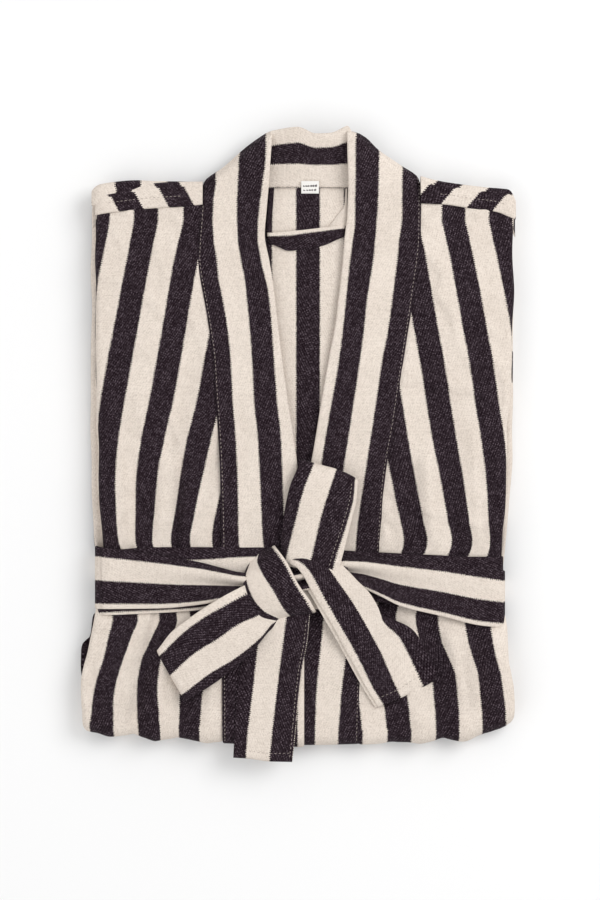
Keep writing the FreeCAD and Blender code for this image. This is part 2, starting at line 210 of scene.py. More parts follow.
def lines_to_u(x: Array, lines: list[tuple[Array, float]]) -> Array:
    """The distance across the stripes at each point, from lines whose distance is known.

    Args:
        x: distances across the packet, rows by columns.
        lines: for each line its place in every row, as a column, and its distance.

    Returns:
        The distance across the stripes at each point.
    """
    places = [np.broadcast_to(p, x.shape) for p, _ in lines]
    marks = [m for _, m in lines]
    u = marks[0] + (x - places[0])
    for k in range(len(lines) - 1):
        gap = places[k + 1] - places[k]
        inside = marks[k] + (x - places[k]) / gap * (marks[k + 1] - marks[k])
        u = np.where(x > places[k], inside, u)
    return np.where(x > places[-1], marks[-1] + (x - places[-1]), u)


def surface_normals(points: Array) -> Array:
    """Works out the unit normal at each point of a grid.

    Args:
        points: the grid, rows by columns by three.

    Returns:
        The normals, in the same shape.
    """
    down = np.gradient(points, axis=0)
    over = np.gradient(points, axis=1)
    normal = np.cross(over, down)
    return normal / np.maximum(np.linalg.norm(normal, axis=2, keepdims=True), 1e-9)


def slab(name: str, points: Array, uv: Array, thickness: float, round_ends: bool = True) -> bpy.types.Object:
    """Makes a closed piece of cloth of even thickness round a middle surface.

    Args:
        name: the piece's name.
        points: the middle surface, rows by columns by three, in millimetres.
        uv: distance across and along the stripes at each point, in millimetres.
        thickness: the cloth's thickness, in millimetres.
        round_ends: whether the first and last rows are rounded as the two sides are.

    Returns:
        The new object, with its place in its mesh.
    """
    rows, columns = points.shape[:2]
    half = thickness / 2
    step_over = np.linalg.norm(np.diff(points, axis=1), axis=2)
    over = np.concatenate([np.zeros((rows, 1)), np.cumsum(step_over, axis=1)], axis=1)
    edge = np.minimum(over, over[:, -1:] - over)
    if round_ends:
        step_down = np.linalg.norm(np.diff(points, axis=0), axis=2)
        down = np.concatenate([np.zeros((1, columns)), np.cumsum(step_down, axis=0)], axis=0)
        edge = np.minimum(edge, np.minimum(down, down[-1:] - down))
    share = np.clip(edge / half, 0, 1)
    rise = half * np.sqrt(np.maximum(1 - (1 - share) ** 2, 0.01))[..., None]
    normal = surface_normals(points)
    top, bottom = points + normal * rise, points - normal * rise
    verts = np.concatenate([top.reshape(-1, 3), bottom.reshape(-1, 3)]) * MM
    grid = np.arange(rows * columns).reshape(rows, columns)
    low = grid + rows * columns
    a, b, c, d = grid[:-1, :-1], grid[:-1, 1:], grid[1:, 1:], grid[1:, :-1]
    quads = [np.stack([a, d, c, b], -1).reshape(-1, 4)]
    a, b, c, d = low[:-1, :-1], low[:-1, 1:], low[1:, 1:], low[1:, :-1]
    quads.append(np.stack([a, b, c, d], -1).reshape(-1, 4))
    ring = [grid[0, :], grid[1:, -1], grid[-1, -2::-1], grid[-2:0:-1, 0]]
    rim = np.concatenate(ring)
    after = np.roll(rim, -1)
    quads.append(np.stack([rim, after, after + rows * columns, rim + rows * columns], -1))
    return mesh_from(name, verts, np.concatenate(quads), np.concatenate([uv, uv]).reshape(-1, 2))


def mesh_from(name: str, verts: Array, quads: Array, uv: Array) -> bpy.types.Object:
    """Makes a mesh object of quads, with a UV map and all faces turned outwards.

    Args:
        name: the piece's name.
        verts: the vertices, in metres.
        quads: four vertex numbers for each face.
        uv: the cloth coordinates of each vertex, in millimetres.

    Returns:
        The new object, linked to the scene.
    """
    mesh = bpy.data.meshes.new(name)
    mesh.vertices.add(len(verts))
    mesh.vertices.foreach_set("co", verts.astype(np.float32).ravel())
    mesh.loops.add(quads.size)
    mesh.loops.foreach_set("vertex_index", quads.astype(np.int32).ravel())
    mesh.polygons.add(len(quads))
    mesh.polygons.foreach_set("loop_start", np.arange(0, quads.size, 4, dtype=np.int32))
    mesh.polygons.foreach_set("use_smooth", np.ones(len(quads), bool))
    layer = mesh.uv_layers.new(name="cloth")
    layer.data.foreach_set("uv", (uv[quads.ravel()] * MM).astype(np.float32).ravel())
    mesh.update(calc_edges=True)
    mesh.validate()
    work = bmesh.new()
    work.from_mesh(mesh)
    bmesh.ops.recalc_face_normals(work, faces=work.faces)
    work.to_mesh(mesh)
    work.free()
    thing = bpy.data.objects.new(name, mesh)
    bpy.context.scene.collection.objects.link(thing)
    return thing


# ---------------------------------------------------------------- finishes


def linear(*srgb: int) -> tuple[float, float, float, float]:
    """A colour given as 8-bit display values, as linear light with full alpha."""
    out = [c / 255 / 12.92 if c <= 10 else ((c / 255 + 0.055) / 1.055) ** 2.4 for c in srgb]
    return (out[0], out[1], out[2], 1.0)


class Nodes:
    """A short way to write a material's node tree."""

    def __init__(self, name: str) -> None:
        """Starts an empty material.

        Args:
            name: the material's name.
        """
        self.material = bpy.data.materials.new(name)
        self.material.use_nodes = True
        self.tree = self.material.node_tree
        self.tree.nodes.clear()

    def add(self, kind: str, inputs: dict | None = None, **settings: object) -> bpy.types.Node:
        """Adds one node.

        Args:
            kind: the node's type name, without its ShaderNode prefix.
            inputs: values or sockets for its inputs, by name or number.
            settings: the node's own properties.

        Returns:
            The node.
        """
        node = self.tree.nodes.new("ShaderNode" + kind)
        for key, value in settings.items():
            setattr(node, key, value)
        for key, value in (inputs or {}).items():
            if isinstance(value, bpy.types.NodeSocket):
                self.tree.links.new(value, node.inputs[key])
            else:
                node.inputs[key].default_value = value
        return node

    def math(self, operation: str, *values: object) -> bpy.types.NodeSocket:
        """Adds a math node and gives its result."""
        inputs = dict(enumerate(values))
        return self.add("Math", inputs, operation=operation).outputs[0]

    def noise(self, vector: bpy.types.NodeSocket, scale: float, detail: float = 2.0) -> bpy.types.NodeSocket:
        """Adds a noise texture and gives its value."""
        inputs = {"Vector": vector, "Scale": scale, "Detail": detail, "Roughness": 0.6}
        return self.add("TexNoise", inputs).outputs[0]

    def stretch(self, vector: bpy.types.NodeSocket, x: float, y: float) -> bpy.types.NodeSocket:
        """Scales the two cloth directions separately."""
        return self.add("Mapping", {"Vector": vector, "Scale": (x, y, 1.0)}).outputs[0]

    def mix(self, factor: object, one: object, two: object, blend: str = "MIX") -> bpy.types.NodeSocket:
        """Mixes two colours.

        Args:
            factor: how much of the second colour shows, as a number or a socket.
            one: the first colour, or the socket that gives it.
            two: the second colour, or the socket that gives it.
            blend: the name of the blend mode.

        Returns:
            The mixed colour's socket.
        """
        node = self.add("Mix", data_type="RGBA", blend_type=blend)
        for socket, value in ((node.inputs[0], factor), (node.inputs[6], one), (node.inputs[7], two)):
            if isinstance(value, bpy.types.NodeSocket):
                self.tree.links.new(value, socket)
            else:
                socket.default_value = value
        return node.outputs[2]


@dataclass(frozen=True)
class StripedCloth:
    """Heavy twill of linen and cotton, in equal dark and cream stripes."""

    name: str = "striped_cloth"
    cream: tuple[float, float, float, float] = linear(231, 220, 209)
    cream_shade: tuple[float, float, float, float] = linear(186, 173, 161)
    dark: tuple[float, float, float, float] = linear(22, 11, 17)
    dark_light: tuple[float, float, float, float] = linear(144, 128, 138)
    yarn: float = 0.00086
    bump: float = 0.5

    def build(self) -> bpy.types.Material:
        """Builds the material.

        Returns:
            The material, which reads only the UV map named "cloth".
        """
        n = Nodes(self.name)
        place = n.add("UVMap", uv_map="cloth").outputs[0]
        split = n.add("SeparateXYZ", {0: place})
        u, v = split.outputs[0], split.outputs[1]
        # The cloth is a grid of yarn crossings, and each crossing shows a little differently.
        column = n.math("FLOOR", n.math("DIVIDE", u, self.yarn))
        line = n.math("FLOOR", n.math("DIVIDE", v, self.yarn))
        crossing = n.add("CombineXYZ", {0: column, 1: line}).outputs[0]
        chance = n.add("TexWhiteNoise", {0: crossing}, noise_dimensions="2D").outputs[0]
        draw = n.add("TexWhiteNoise", {1: line}, noise_dimensions="1D").outputs[0]
        twill = n.math("FLOORED_MODULO", n.math("MULTIPLY_ADD", column, 2.0, line), 5.0)
        twill = n.math("LESS_THAN", twill, 1.5)
        # Each yarn that crosses a stripe's edge ends a little before or after it.
        reach = n.math("MULTIPLY_ADD", draw, 0.00055, n.math("SUBTRACT", u, 0.0007))
        reach = n.math("MULTIPLY_ADD", n.math("FLOORED_MODULO", line, 2.0), 0.00085, reach)
        phase = n.math("FLOORED_MODULO", reach, REPEAT * MM)
        is_dark = n.math("LESS_THAN", phase, STRIPE * MM)
        warp = n.noise(n.stretch(place, 760.0, 120.0), 1.0, 3.0)
        weft = n.noise(n.stretch(place, 120.0, 760.0), 1.0, 3.0)
        grain = n.noise(place, 900.0, 1.0)
        cloud = n.noise(place, 22.0, 3.0)
        fleck = n.add("MapRange", {0: chance, 1: 0.5, 2: 1.0}).outputs[0]
        slub = n.add("MapRange", {0: weft, 1: 0.52, 2: 0.8}).outputs[0]
        pale = n.math("MULTIPLY_ADD", warp, 0.5, n.math("MULTIPLY_ADD", weft, 0.7, -0.42))
        pale = n.math("ADD", pale, n.math("MULTIPLY_ADD", cloud, 0.6, -0.3))
        pale = n.math("MULTIPLY_ADD", fleck, 0.34, n.math("MULTIPLY_ADD", twill, 0.16, pale))
        cream = n.mix(pale, self.cream, self.cream_shade)
        worn = n.math("MULTIPLY", fleck, n.math("MULTIPLY_ADD", twill, 0.20, 0.11))
        worn = n.math("MULTIPLY_ADD", slub, 0.05, n.math("MULTIPLY_ADD", twill, 0.07, worn))
        dark = n.mix(worn, self.dark, self.dark_light)
        colour = n.mix(is_dark, cream, dark)
        height = n.math("MULTIPLY_ADD", grain, 0.9, n.math("MULTIPLY", twill, 0.3))
        height = n.math("ADD", height, n.math("MULTIPLY_ADD", weft, 0.8, n.math("MULTIPLY", warp, 0.8)))
        bump = n.add("Bump", {"Height": height, "Strength": self.bump, "Distance": 0.0007})
        shader = n.add(
            "BsdfPrincipled",
            {
                "Base Color": colour,
                "Roughness": 0.95,
                "Specular IOR Level": 0.06,
                "Sheen Weight": 0.02,
                "Sheen Roughness": 0.5,
                "Normal": bump.outputs[0],
            },
        )
        n.add("OutputMaterial", {0: shader.outputs[0]})
        return n.material


@dataclass(frozen=True)
class PlainCloth:
    """A plain woven finish for thread and the label."""

    name: str
    colour: tuple[float, float, float, float]
    shade: tuple[float, float, float, float]
    scale: float = 1500.0
    roughness: float = 0.8

    def build(self) -> bpy.types.Material:
        """Builds the material.

        Returns:
            The material, which reads object coordinates.
        """
        n = Nodes(self.name)
        place = n.add("TexCoord").outputs["Object"]
        fine = n.noise(place, self.scale, 3.0)
        colour = n.mix(fine, self.colour, self.shade)
        bump = n.add("Bump", {"Height": fine, "Strength": 0.3, "Distance": 0.0002})
        shader = n.add(
            "BsdfPrincipled",
            {
                "Base Color": colour,
                "Roughness": self.roughness,
                "Specular IOR Level": 0.3,
                "Normal": bump.outputs[0],
            },
        )
        n.add("OutputMaterial", {0: shader.outputs[0]})
        return n.material


@dataclass
class Finishes:
    """The materials that the pieces share."""

    cloth: bpy.types.Material
    thread: bpy.types.Material
    label: bpy.types.Material
    ink: bpy.types.Material

    @classmethod
    def build(cls) -> Finishes:
        """Builds every material once.

        Returns:
            The finished materials.
        """
        return cls(
            StripedCloth().build(),
            PlainCloth("cream_thread", linear(186, 174, 166), linear(150, 138, 131)).build(),
            PlainCloth("label_cloth", linear(240, 238, 235), linear(222, 219, 214), 2400.0).build(),
            PlainCloth("label_ink", linear(70, 66, 66), linear(110, 104, 104), 900.0).build(),
        )


@dataclass
class Workshop:
    """What every sub-assembly needs to finish a piece."""

    finishes: Finishes
    made: list[str] = field(default_factory=list)
    seams: dict[str, list[Array]] = field(default_factory=dict)
    joins: dict[str, tuple[Vector, Vector]] = field(default_factory=dict)

    def stitch(self, body: str, points: Array, column: int | None = None, row: int | None = None,
               keep: slice = slice(None), proud: float = 0.75) -> None:
        """Notes a line of stitches along a column or a row of a cloth's middle surface.

        Args:
            body: the body that the stitches move with.
            points: the cloth's middle surface.
            column: which column the line follows, if it runs along the cloth.
            row: which row it follows, if it runs across the cloth.
            keep: which part of the line is stitched.
            proud: how far the thread lies above the middle surface.
        """
        normal = surface_normals(points)
        pick = (slice(None), column) if column is not None else row
        line, away = points[pick][keep], normal[pick][keep]
        away = away * math.copysign(1.0, float(away[:, 2].mean()))
        self.seams.setdefault(body, []).append(line + away * proud)

    def dress(
        self,
        piece: bpy.types.Object,
        material: bpy.types.Material,
        slot: str,
        nodes: tuple[str, ...] = (),
    ) -> bpy.types.Object:
        """Gives a piece its material, hides the CAD nodes it stands for and notes its name.

        Args:
            piece: the piece.
            material: its finish.
            slot: the record's material slot; not used.
            nodes: the CAD nodes it replaces.

        Returns:
            The same piece.
        """
        if piece.data.materials:
            piece.data.materials[0] = material
        else:
            piece.data.materials.append(material)
        if nodes:
            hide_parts(*nodes)
        self.made.append(piece.name)
        LOG.info("%s: %d vertices", piece.name, len(piece.data.vertices))
        return piece

    def sheet(
        self,
        piece: bpy.types.Object,
        held: str,
        rests_on: tuple[str, ...],
        flat: tuple[float, float],
        with_pieces: tuple[bpy.types.Object, ...] = (),
    ) -> None:
        """Does nothing: the piece is not declared as cloth.

        Args:
            piece: the piece; not used.
            held: how the cloth is held; not used.
            rests_on: what it lies on or is sewn to; not used.
            flat: the width and length it was cut to, in metres; not used.
            with_pieces: separate pieces that belong to the same cloth; not used.
        """


# ---------------------------------------------------------------- the packet


@dataclass
class Packet:
    """The folded strip of cloth: its top, the turn at the bottom, and its underside.

    A place on it is given by x, by the run (the distance down the strip from y = 0) and by the
    depth below its outer face.
    """

    height: float = 24.0
    hem_y: float = 196.0
    top_rows: int = 190
    turn_rows: int = 16
    under_rows: int = 70

    def __post_init__(self) -> None:
        """Shapes the bottom fold."""
        self.radius = self.height / 2
        self.fold_y = Profile(
            (-184, -238), (-160, -242), (-110, -245.5), (-50, -249), (10, -251.5), (60, -250.5),
            (110, -247.5), (150, -243), (180, -231),
        )

    def runs(self, x: Array, top_y: Array | float) -> tuple[Array, Array]:
        """Rows for a cloth that goes the whole way from top_y to the hem.

        Args:
            x: the place across, rows by columns, or one row.
            top_y: where the cloth starts at the top, for each column.

        Returns:
            The run at each point, and which stretch it is in: 0 top, 1 turn, 2 underside.
        """
        turn_start = -(self.fold_y(x) + self.radius)
        arc = math.pi * self.radius
        start = -np.broadcast_to(np.asarray(top_y, float), turn_start.shape)
        stop = turn_start + arc + (self.hem_y + turn_start)
        t_top = np.linspace(0, 1, self.top_rows, endpoint=False)[:, None]
        t_turn = np.linspace(0, 1, self.turn_rows, endpoint=False)[:, None]
        t_under = np.linspace(0, 1, self.under_rows)[:, None]
        run = np.concatenate(
            [
                start + (turn_start - start) * t_top,
                turn_start + arc * t_turn,
                turn_start + arc + (stop - turn_start - arc) * t_under,
            ]
        )
        part = np.repeat([0, 1, 2], [self.top_rows, self.turn_rows, self.under_rows])[:, None]
        return run, np.broadcast_to(part, run.shape)

    def flat_y(self, x: Array, run: Array) -> Array:
        """The y of each run, which stays at the fold in the turn.

        Args:
            x: the place across.
            run: the run at each point.

        Returns:
            The y at each point.
        """
        turn_start = -(self.fold_y(x) + self.radius)
        back = run - turn_start - math.pi * self.radius
        return np.where(run < turn_start, -run, np.where(back > 0, -turn_start + back, -turn_start))

    def turned(self, x: Array, run: Array) -> Array:
        """How far round the bottom fold each run is, from 0 on top to 1 underneath."""
        turn_start = -(self.fold_y(x) + self.radius)
        return ramp(np.clip((run - turn_start) / (math.pi * self.radius), 0, 1), 0, 1)

    def point(self, x: Array, run: Array, depth: Array) -> Array:
        """The place of each point of the strip.

        Args:
            x: the place across.
            run: the run at each point.
            depth: how far below the outer face.

        Returns:
            The points, with a last axis of three.
        """
        turn_start = -(self.fold_y(x) + self.radius)
        angle = np.clip((run - turn_start) / self.radius, 0, math.pi)
        reach = self.radius - depth
        y = self.flat_y(x, run) - reach * np.sin(angle)
        z = self.radius + reach * np.cos(angle)
        return np.stack([np.broadcast_to(x, run.shape), y, z], axis=-1)


PACKET = Packet()
WAIST_Y = -118.0


def cinch(y: Array) -> Array:
    """How deep the belt presses into the packet's top, with the cloth bulging beside it."""
    return 3.6 * bell(y, WAIST_Y, 30) - 1.5 * bell(y, WAIST_Y + 62, 26) - 1.8 * bell(y, WAIST_Y - 58, 26)


def belt_hollow(y: Array) -> Array:
    """How deep the belt's hollow is in the underside, where the belt lies flush."""
    return 5.2 * ramp(y, -162, -153) * (1 - ramp(y, -84, -76))


LEFT_SEAM = (
    (212, -81.5), (190, -82.8), (170, -84.4), (156, -85.2), (144, -84), (130, -81.5), (110, -77.8),
    (88, -74.3), (75, -72.6), (47, -70.8), (29, -69.4), (-21, -66.7), (-83, -65.3), (-146, -65),
    (-241, -64.6),
)
RIGHT_SEAM = (
    (214, 100.8), (179, 100.8), (121, 94.2), (79, 87.5), (21, 79.2), (-29, 70.8), (-87, 66.7), (-130, 60),
    (-162, 54.2), (-200, 50), (-241, 49),
)


@dataclass
class Drape:
    """How a front panel's cloth settles, from a short cloth simulation.

    A sheet a little too large for its place, most of all beside the belt, is held at the seam,
    at the side and under the belt, and buckles into soft pleats over the packet.
    """

    seam: Profile
    edge: Profile
    seed: int
    columns: int = 34
    rows: int = 120
    top_y: float = 205.0
    low_y: float = -238.0
    unit: float = 0.02
    frames: int = 26
    spare: float = 0.055
    spare_far: float = 0.012

    def settle(self) -> Array:
        """Runs the simulation.

        Returns:
            The cloth's height above the packet at each row and column, in millimetres.
        """
        y = np.linspace(self.top_y, self.low_y, self.rows)[:, None] + np.zeros((1, self.columns))
        x = self.seam(y) + (self.edge(y) - self.seam(y)) * np.linspace(0, 1, self.columns)[None, :]
        z = 0.9 + ripple(x, y, self.seed, 32, 0.5)
        verts = np.stack([x, y, z], -1).reshape(-1, 3) * self.unit
        grid = np.arange(x.size).reshape(x.shape)
        faces = np.stack([grid[:-1, :-1], grid[:-1, 1:], grid[1:, 1:], grid[1:, :-1]], -1).reshape(-1, 4)
        sheet = self.add("settling_cloth", verts, faces)
        near = np.maximum(bell(y, -78, 62), bell(y, -170, 60)) * np.ones_like(x)
        held = np.zeros(x.shape)
        held[:, :1] = held[:, -1:] = 1.0
        held[np.abs(y - WAIST_Y) < 27] = 1.0
        held[0, :] = held[-1, :] = 1.0
        for name, weights in (("held", held), ("spare", near)):
            group = sheet.vertex_groups.new(name=name)
            for i, weight in enumerate(weights.ravel()):
                group.add([i], float(weight), "REPLACE")
        wide = 6.0
        plate = self.add(
            "settling_plate", np.array([(-wide, -wide, 0), (wide, -wide, 0), (wide, wide, 0),
                                        (-wide, wide, 0)]),
            np.array([[0, 1, 2, 3]]),
        )
        plate.modifiers.new("stop", "COLLISION")
        plate.collision.thickness_outer = 0.01
        cloth = sheet.modifiers.new("cloth", "CLOTH")
        cloth.settings.quality = 7
        cloth.settings.mass = 0.25
        cloth.settings.vertex_group_mass = "held"
        cloth.settings.vertex_group_shrink = "spare"
        cloth.settings.shrink_min = -self.spare_far
        cloth.settings.shrink_max = -self.spare
        cloth.settings.tension_stiffness = 25
        cloth.settings.compression_stiffness = 25
        cloth.settings.shear_stiffness = 8
        cloth.settings.bending_stiffness = 2.2
        cloth.settings.air_damping = 4
        cloth.collision_settings.distance_min = 0.01
        cloth.point_cache.frame_start, cloth.point_cache.frame_end = 1, self.frames
        scene = bpy.context.scene
        for frame in range(1, self.frames + 1):
            scene.frame_set(frame)
        final = sheet.evaluated_get(bpy.context.evaluated_depsgraph_get())
        out = np.zeros(x.size * 3)
        final.data.vertices.foreach_get("co", out)
        scene.frame_set(1)
        for thing in (sheet, plate):
            bpy.data.objects.remove(thing)
        height = out.reshape(*x.shape, 3)[..., 2] / self.unit
        LOG.info("drape: %.2f to %.2f mm", height.min(), height.max())
        return np.clip(height - 0.9, -1.0, 6.0)

    @staticmethod
    def add(name: str, verts: Array, faces: Array) -> bpy.types.Object:
        """Adds a plain object for the simulation.

        Args:
            name: the object's name.
            verts: its points.
            faces: its faces, each a row of point numbers.

        Returns:
            The new object, linked to the scene.
        """
        mesh = bpy.data.meshes.new(name)
        mesh.from_pydata(verts.tolist(), [], faces.tolist())
        thing = bpy.data.objects.new(name, mesh)
        bpy.context.scene.collection.objects.link(thing)
        return thing

    def at(self, height: Array, x: Array, y: Array) -> Array:
        """The settled height at any place.

        Args:
            height: what settle returned.
            x: distances across the packet.
            y: distances along it.

        Returns:
            The height at each point.
        """
        seam, edge = self.seam(y), self.edge(y)
        a = np.clip((x - seam) / (edge - seam), 0, 1) * (self.columns - 1)
        b = np.clip((self.top_y - y) / (self.top_y - self.low_y), 0, 1) * (self.rows - 1)
        i, j = np.minimum(b.astype(int), self.rows - 2), np.minimum(a.astype(int), self.columns - 2)
        fb, fa = b - i, a - j
        fb, fa = fb * fb * (3 - 2 * fb), fa * fa * (3 - 2 * fa)
        one = height[i, j] * (1 - fa) + height[i, j + 1] * fa
        two = height[i + 1, j] * (1 - fa) + height[i + 1, j + 1] * fa
        return one * (1 - fb) + two * fb


@dataclass
class FrontPanel:
    """One front panel, with the side of the body folded under it."""

    side: Side
    shop: Workshop
    fold_radius: float = 4.1
    tuck: float = 46.0
    thickness: float = 1.2
    flat_columns: int = 62

    def __post_init__(self) -> None:
        """Chooses the outline, the seam, the stripe lines and the folds for this side."""
        if self.side is Side.LEFT:
            self.name = "front_panel_left"
            self.edge = Profile(
                (215, -168.5), (171, -169.5), (130, -170), (60, -169), (4, -167.8), (-46, -167),
                (-79, -164), (-118, -163.5), (-143, -170), (-154, -171.7), (-167, -174.2), (-179, -176.7),
                (-192, -180), (-204, -181.7), (-220, -182), (-235, -180.5),
            )
            self.under_edge = Profile((196, -174.5), (0, -175), (-70, -172), (-118, -165), (-165, -176),
                                      (-235, -180.5))
            self.seam = Profile(*LEFT_SEAM)
            self.lines = [
                (Profile((186, -168), (121, -181), (37, -196), (-79, -197), (-162, -192),
                         (-240, -204)), -70.0),
                (Profile((186, -128.3), (154, -134.2), (121, -140.4), (96, -145), (71, -149.6), (37, -155.8),
                         (4, -160.4), (-29, -161.7), (-62, -160), (-79, -158), (-118, -146), (-146, -144),
                         (-158, -148), (-169, -151), (-179, -154), (-189, -158), (-204, -162.5),
                         (-221, -164.6), (-241, -165.5)), -30.0),
                (Profile((186, -86.7), (154, -95), (121, -100.8), (96, -104.6), (71, -109.2), (37, -115.4),
                         (4, -122.9), (-29, -127.9), (-62, -129.2), (-79, -130), (-118, -112), (-146, -108),
                         (-158, -114), (-169, -120), (-179, -125), (-200, -127.5), (-221, -126),
                         (-242, -124)), 10.0),
                (Profile((186, -47), (121, -61), (37, -76), (4, -84.2), (-29, -90.8), (-62, -97.5),
                         (-79, -100.4), (-118, -92), (-162, -83.3), (-187, -87.5), (-212, -91.7),
                         (-241, -93.3)), 50.0),
                (Profile((186, -7), (4, -45), (-46, -59), (-79, -64), (-162, -46), (-241, -54)), 90.0),
            ]
            self.folds = [
                Fold((-118, 150), (-138, 0), 16, 1.1),
                Fold((-95, 60), (-122, -60), 9, -1.2),
                Fold((-113, -20), (-117, -84), 6.5, 2.2),
                Fold((-100, -20), (-103, -84), 3.6, -2.2),
                Fold((-86, 10), (-93, -80), 8, 1.8),
                Fold((-140, -20), (-141, -84), 6, -1.7),
                Fold((-152, -10), (-153, -84), 6, 1.6),
                Fold((-70, -10), (-76, -84), 5, -1.3),
                Fold((-136, -150), (-158, -230), 8, 2.2),
                Fold((-121, -150), (-141, -238), 5, -2.4),
                Fold((-108, -150), (-124, -240), 7, 2.3),
                Fold((-84, -152), (-100, -230), 6, -1.8),
                Fold((-66, -150), (-78, -240), 7, 1.6),
                Fold((-168, -160), (-176, -210), 6, -1.6),
            ]
        else:
            self.name = "front_panel_right"
            self.edge = Profile(
                (215, 178), (171, 177), (130, 177.5), (96, 176.5), (37, 175.5), (4, 171.5), (-29, 171.5),
                (-62, 170.5), (-79, 168.5), (-118, 166.5), (-144, 169.5), (-162, 172.5), (-187, 173.5),
                (-200, 176), (-212, 178), (-232, 178.5),
            )
            self.under_edge = Profile((196, 176.5), (60, 178.5), (0, 177.5), (-70, 172), (-118, 166),
                                      (-165, 173), (-232, 178.5))
            self.seam = Profile(*RIGHT_SEAM)
            self.lines = [
                (Profile((171, 12), (37, 35), (-29, 46), (-79, 56), (-144, 34), (-241, 42)), -30.0),
                (Profile((171, 52), (121, 61), (37, 75), (4, 80), (-29, 86.3), (-46, 89.6), (-62, 92.9),
                         (-79, 96.3), (-118, 80), (-144, 72), (-187, 75.8), (-225, 80.8),
                         (-241, 82.9)), 10.0),
                (Profile((186, 88), (171, 92), (121, 100.8), (96, 105), (71, 109.6), (37, 115), (4, 120.4),
                         (-29, 127), (-46, 130), (-62, 132.5), (-79, 136.3), (-118, 117), (-144, 104.2),
                         (-162.5, 107.5), (-177, 114.5), (-190, 119.8), (-204, 121.5), (-232, 123),
                         (-248, 123)), 50.0),
                (Profile((186, 127.9), (154, 135), (121, 141.3), (96, 145.8), (71, 150.4), (37, 155.4),
                         (4, 160.4), (-29, 163.8), (-62, 164.6), (-79, 165.4), (-118, 156), (-150, 148.3),
                         (-162.5, 150), (-177, 153.3), (-190, 157.3), (-204, 159.2), (-218, 160.8),
                         (-241, 161.5)), 90.0),
                (Profile((186, 167), (121, 181), (37, 195), (-79, 205), (-144, 190), (-241, 203)), 130.0),
            ]
            self.folds = [
                Fold((120, 150), (146, 0), 18, 1.0),
                Fold((100, 60), (116, -60), 9, -1.0),
                Fold((106, -10), (112, -84), 6, 1.9),
                Fold((94, -20), (100, -84), 5, -1.5),
                Fold((124, -20), (130, -84), 6, -1.6),
                Fold((145, 0), (149, -84), 7, 1.7),
                Fold((82, 0), (86, -84), 6, 1.2),
                Fold((157, -30), (158, -84), 5, -1.2),
                Fold((92, -150), (100, -236), 8, 1.8),
                Fold((110, -152), (120, -236), 6, -1.7),
                Fold((128, -150), (138, -236), 8, 2.0),
                Fold((146, -152), (150, -225), 6, -1.6),
                Fold((162, -155), (166, -220), 6, 1.4),
                Fold((74, -152), (76, -236), 6, -1.4),
            ]

    def relief(self, x: Array, y: Array, part: Array, turned: Array) -> Array:
        """How far the cloth stands proud of the packet, with the hollow where the belt lies.

        Args:
            x: distances across the packet.
            y: distances along it.
            part: which run of the cloth each row lies on; 2 is the underside.
            turned: how far the cloth has turned under at the side, from 0 to 1.

        Returns:
            The height above the packet's own surface at each point.
        """
        lift = -cinch(y)
        for fold in self.folds:
            lift = lift + FOLD_STRENGTH * fold.lift(x, y)
        lift = lift + self.drape.at(self.settled, x, y)
        free = ramp(np.abs(y - WAIST_Y), 25, 44)
        lift = np.where(lift > -cinch(y), -cinch(y) + (lift + cinch(y)) * free, lift)
        lift = lift + ripple(x, y, 11, 55, 0.45) + ripple(x, y, 12, 17, 0.12)
        under = -belt_hollow(y) + ripple(x, y, 13, 60, 0.35) - 0.5
        return np.where(part == 2, under, lift * (1 - turned) - 0.5 * turned)

    def build(self) -> bpy.types.Object:
        """Builds the panel from the shoulder round the bottom fold to the hem.

        Returns:
            The finished piece.
        """
        sign = self.side.value
        self.drape = Drape(self.seam, self.edge, 14 if sign < 0 else 15)
        self.settled = self.drape.settle()
        share = across(self.flat_columns, 120)
        turn = np.linspace(0, math.pi, 11)[1:]
        tuck = np.linspace(0, 1, 8)[1:]
        edge_guess = np.full((1, 1), sign * 172.0)
        spread = np.linspace(sign * 60, sign * 175, len(share) + len(turn) + len(tuck))[None, :]
        run, part = PACKET.runs(spread, 205.0)
        y = PACKET.flat_y(edge_guess, run)
        y_fold = PACKET.flat_y(np.linspace(sign * 60, sign * 175, run.shape[1])[None, :], run)
        edge = np.where(part[:, :1] == 2, self.under_edge(y[:, :1]), self.edge(y[:, :1]))
        wobble = ripple(y[:, :1], np.zeros_like(y[:, :1]), 21, 40, 0.5)
        edge = edge + wobble
        seam = self.seam(np.where(part[:, :1] == 2, -240.0, y[:, :1])) - sign * 9
        radius = self.fold_radius + ripple(y[:, :1], np.zeros_like(y[:, :1]), 22, 50, 0.4)
        inner_edge = edge - sign * radius
        flat = seam + (inner_edge - seam) * share[None, :-1]
        round_x = inner_edge + sign * radius * np.sin(turn)[None, :]
        tuck_x = inner_edge - sign * self.tuck * tuck[None, :]
        x = np.concatenate([flat, round_x, tuck_x], axis=1)
        zero = np.zeros_like(flat)
        depth = np.concatenate([zero, radius * (1 - np.cos(turn))[None, :], 2 * radius + 0 * tuck_x], axis=1)
        run, part = run[:, : x.shape[1]], part[:, : x.shape[1]]
        fade = np.concatenate([zero + 1, np.cos(turn / 2)[None, :] + 0 * round_x, 0 * tuck_x], axis=1)
        inside = sign * (x - seam) - 9.0
        dive = 2.6 * (1 - ramp(inside, -5.5, 3.0))
        lift = self.relief(x, y_fold[:, : x.shape[1]], part, PACKET.turned(x, run)) * fade - dive
        points = PACKET.point(x, run, 0.6 + depth - lift)
        line_y = np.where(part == 0, y_fold[:, : x.shape[1]], -241.0)
        marks = [(line(line_y), mark) for line, mark in self.lines]
        beyond = sign * (radius * np.concatenate([0 * flat[0], turn, np.full(len(tuck), math.pi)])[None, :])
        beyond = beyond + sign * np.concatenate([0 * flat[0], 0 * turn, self.tuck * tuck])[None, :]
